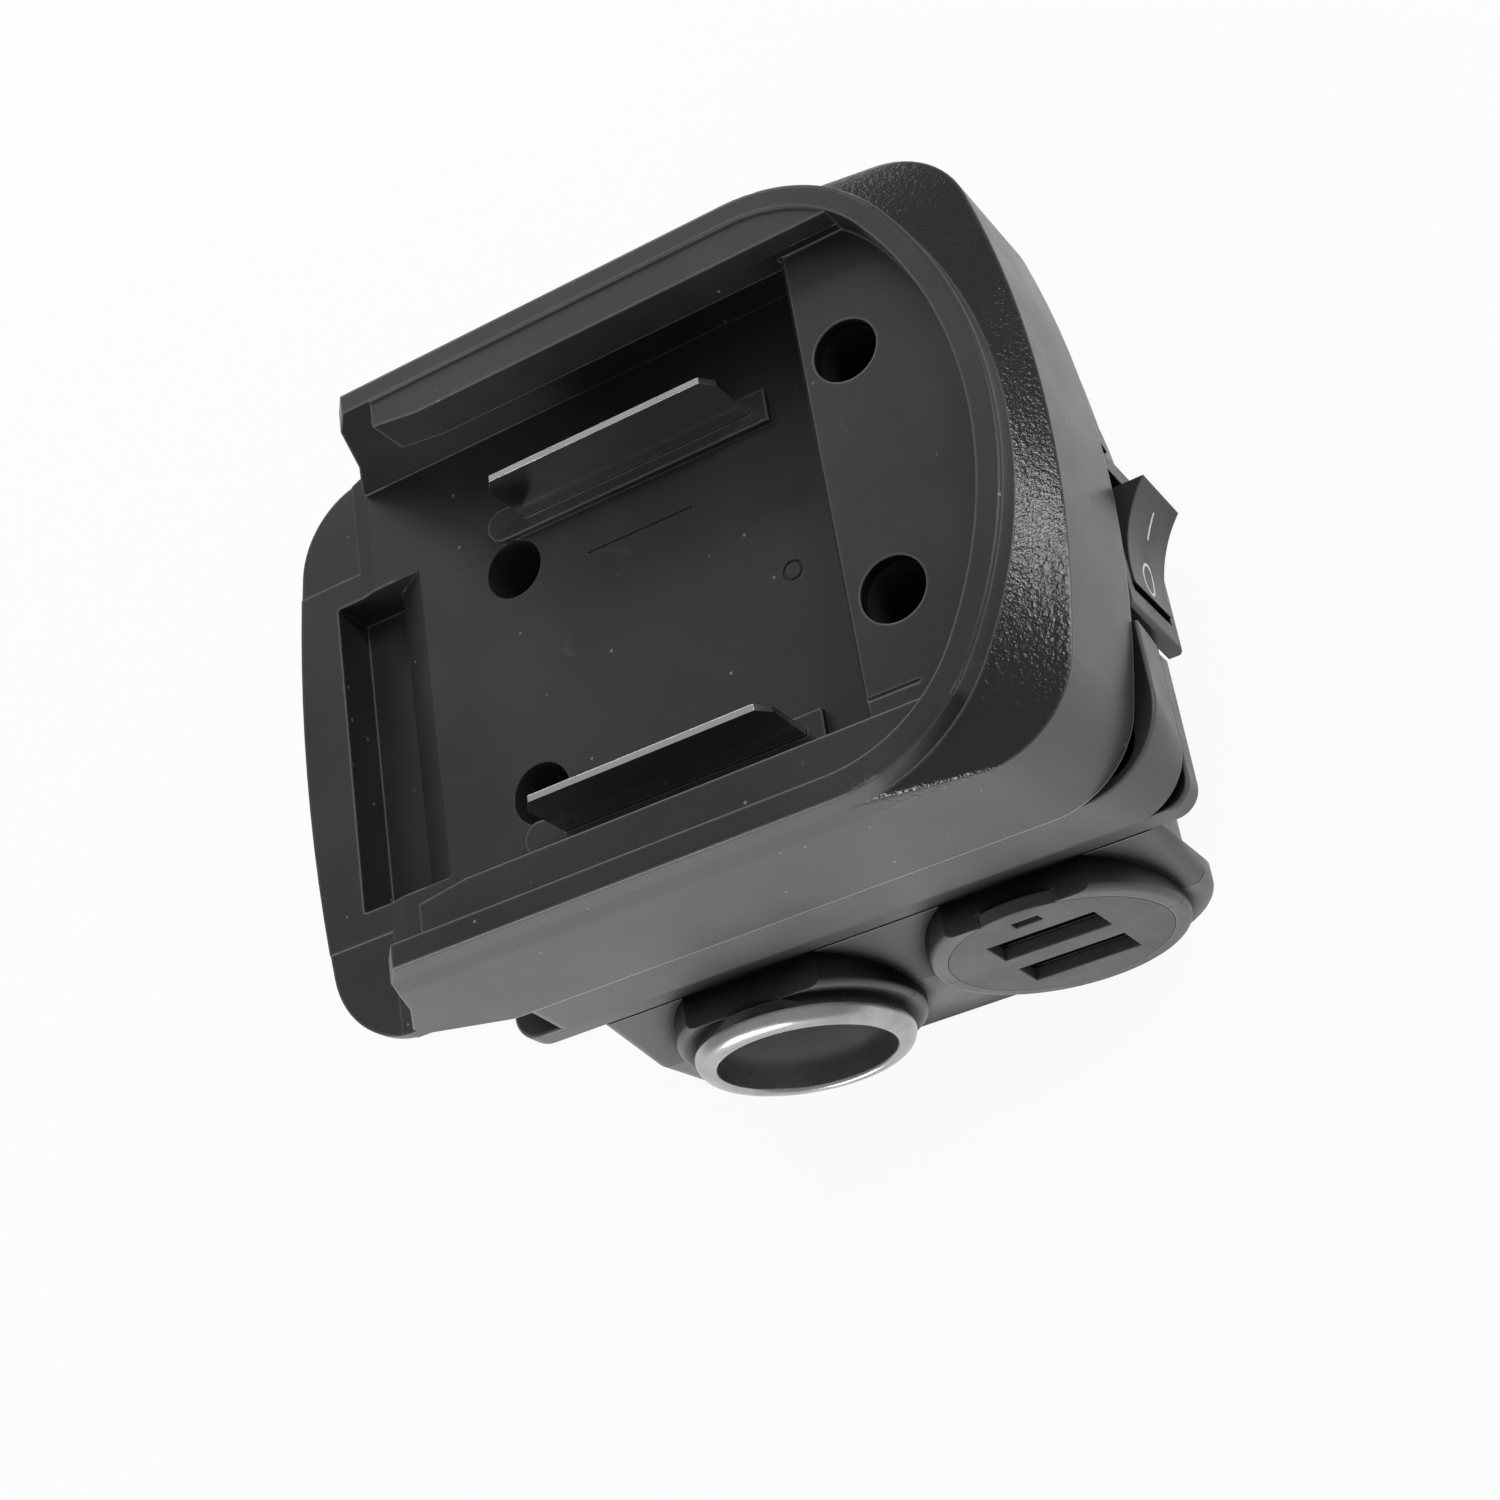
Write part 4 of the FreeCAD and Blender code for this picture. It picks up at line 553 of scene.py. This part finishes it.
# The marks: how far they stand out on each side of the face, the width of their lines, the
# bar's two ends, and the ring's middle and radii along and across the face
MARK_PROUD = 0.03 * MM
MARK_W = 0.34 * MM
BAR_SPAN = (0.95 * MM, 4.1 * MM)
BAR_STEPS = 10
RING_MIDDLE = -3.8 * MM
RING_ALONG = 1.75 * MM
RING_ACROSS = 1.4 * MM
RING_STEPS = 48


# A place on the rocker's dished face, from how far along and across the face it lies and
# how far it stands out
def rocker_face(along, across, proud):
    radius = (ROCKER_HALF ** 2 + ROCKER_DISH ** 2) / (2 * ROCKER_DISH)
    centre = ROCKER_CREST - ROCKER_DISH + radius
    x = centre - math.sqrt(radius ** 2 - along ** 2) + proud
    cos_t = math.cos(ROCKER_TILT)
    sin_t = math.sin(ROCKER_TILT)
    return Vector((PIVOT_X + x * cos_t - along * sin_t, SWITCH_Y + x * sin_t + along * cos_t,
                   SWITCH_Z + across))


# A closed band between two lines of places on the face, each an (along, across) pair
def face_band(name, inner, outer, material, loop):
    count = len(inner)
    points = []
    for proud in (-MARK_PROUD, MARK_PROUD):
        for side in (inner, outer):
            points.extend(rocker_face(along, across, proud) for along, across in side)
    low_in, low_out, top_in, top_out = (k * count for k in range(4))
    sides = ((top_in, top_out), (top_out, low_out), (low_out, low_in), (low_in, top_in))
    faces = []
    for k in range(count if loop else count - 1):
        m = (k + 1) % count
        faces.extend((a + k, a + m, b + m, b + k) for a, b in sides)
    if not loop:
        for k in (0, count - 1):
            faces.append((low_in + k, top_in + k, top_out + k, low_out + k))
    mesh = bpy.data.meshes.new(name)
    mesh.from_pydata(points, [], faces)
    piece = add_object(name, mesh)
    tidy = bmesh.new()
    tidy.from_mesh(mesh)
    bmesh.ops.recalc_face_normals(tidy, faces=tidy.faces)
    tidy.to_mesh(mesh)
    tidy.free()
    mesh.materials.append(material)
    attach(piece, "rocker")


# The printed marks on the rocker: a bar and a ring that lie on its dished face
def build_marks(ink):
    half = MARK_W / 2
    start, end = BAR_SPAN
    line = [start + (end - start) * k / BAR_STEPS for k in range(BAR_STEPS + 1)]
    face_band("mark_on", [(a, -half) for a in line], [(a, half) for a in line], ink, loop=False)
    turns = [2 * math.pi * k / RING_STEPS for k in range(RING_STEPS)]
    inner, outer = ([(RING_MIDDLE + (RING_ALONG + grow) * math.cos(turn),
                      (RING_ACROSS + grow) * math.sin(turn)) for turn in turns]
                    for grow in (-half, half))
    face_band("mark_off", inner, outer, ink, loop=True)


# The floor: half its width, its gap below the part, its matt finish, and how much of it
# gives way to plain white for the camera
FLOOR_HALF = 3.0
FLOOR_DROP = 0.05 * MM
FLOOR_GREY = 0.86
FLOOR_ROUGH = 0.9
FLOOR_GLOSS = 0.1
FLOOR_WHITE = 0.93


# The floor: white to the camera and in reflections, and it keeps the object's shadow
def white_floor():
    n = Nodes("white_floor")
    n.set(Base_Color=grey(FLOOR_GREY), Roughness=FLOOR_ROUGH, Specular_IOR_Level=FLOOR_GLOSS)
    path = n.add("ShaderNodeLightPath")
    seen = n.math("MAXIMUM", path.outputs["Is Camera Ray"], path.outputs["Is Glossy Ray"])
    seen = n.math("MAXIMUM", seen, path.outputs["Is Transmission Ray"])
    white = n.add("ShaderNodeEmission")
    white.inputs["Color"].default_value = grey(1.0)
    white.inputs["Strength"].default_value = 1.0
    mix = n.add("ShaderNodeMixShader")
    n.link(n.times(seen, FLOOR_WHITE), mix.inputs["Fac"])
    n.link(n.shader.outputs["BSDF"], mix.inputs[1])
    n.link(white.outputs["Emission"], mix.inputs[2])
    n.link(mix.outputs["Shader"], n.output.inputs["Surface"])
    return n.material


def build_floor():
    mesh = bpy.data.meshes.new("floor")
    corners = [(x * FLOOR_HALF, y * FLOOR_HALF, 0)
               for x, y in ((-1, -1), (1, -1), (1, 1), (-1, 1))]
    mesh.from_pydata(corners, [], [(0, 1, 2, 3)])
    floor = add_object("floor", mesh)
    floor.location.z = -FLOOR_DROP
    mesh.materials.append(white_floor())


# The world's light, and the lamps, which all face one point above the table
WORLD_GREY = 0.9
WORLD_STRENGTH = 0.5
LAMP_TARGET = (0, 0, 0.04)
LAMPS = {
    "key": dict(place=(-0.3, 0.75, 0.4), size=(0.5, 0.4), power=2.0),
    "side": dict(place=(0.64, 0.26, 0.7), size=(0.2, 0.36), power=2.7),
    "front": dict(place=(-0.35, -0.7, 0.1), size=(0.5, 0.16), power=3.7),
}


# A pale even world that the camera sees as plain white
def build_world():
    world = bpy.data.worlds.new("studio")
    world.use_nodes = True
    tree = world.node_tree
    even = tree.nodes["Background"]
    even.inputs["Color"].default_value = grey(WORLD_GREY)
    even.inputs["Strength"].default_value = WORLD_STRENGTH
    backdrop = tree.nodes.new("ShaderNodeBackground")
    backdrop.inputs["Color"].default_value = grey(1.0)
    backdrop.inputs["Strength"].default_value = 1.0
    mix = tree.nodes.new("ShaderNodeMixShader")
    path = tree.nodes.new("ShaderNodeLightPath")
    tree.links.new(path.outputs["Is Camera Ray"], mix.inputs["Fac"])
    tree.links.new(even.outputs["Background"], mix.inputs[1])
    tree.links.new(backdrop.outputs["Background"], mix.inputs[2])
    tree.links.new(mix.outputs["Shader"], tree.nodes["World Output"].inputs["Surface"])
    bpy.context.scene.world = world


def area_light(name, place, size, power):
    light = bpy.data.lights.new(name, "AREA")
    light.shape = "RECTANGLE"
    light.size, light.size_y = size
    light.energy = power
    lamp = add_object(name, light)
    lamp.location = place
    aim = Vector(LAMP_TARGET) - Vector(place)
    lamp.rotation_euler = aim.to_track_quat("-Z", "Y").to_euler()


def build_camera():
    data = bpy.data.cameras.new("camera")
    data.lens = CAMERA_LENS
    data.sensor_width = SENSOR
    data.clip_start, data.clip_end = CAMERA_CLIP
    camera = add_object("camera", data)
    turn = Matrix((CAMERA_RIGHT, CAMERA_UP, CAMERA_BACK)).transposed()
    camera.matrix_world = Matrix.Translation(CAMERA_PLACE) @ turn.to_4x4()
    bpy.context.scene.camera = camera


bpy.context.scene.view_settings.view_transform = "Standard"
dress_nodes(build_materials())
build_marks(print_ink())
build_floor()
build_world()
for lamp_name, lamp_look in LAMPS.items():
    area_light(lamp_name, **lamp_look)
build_camera()
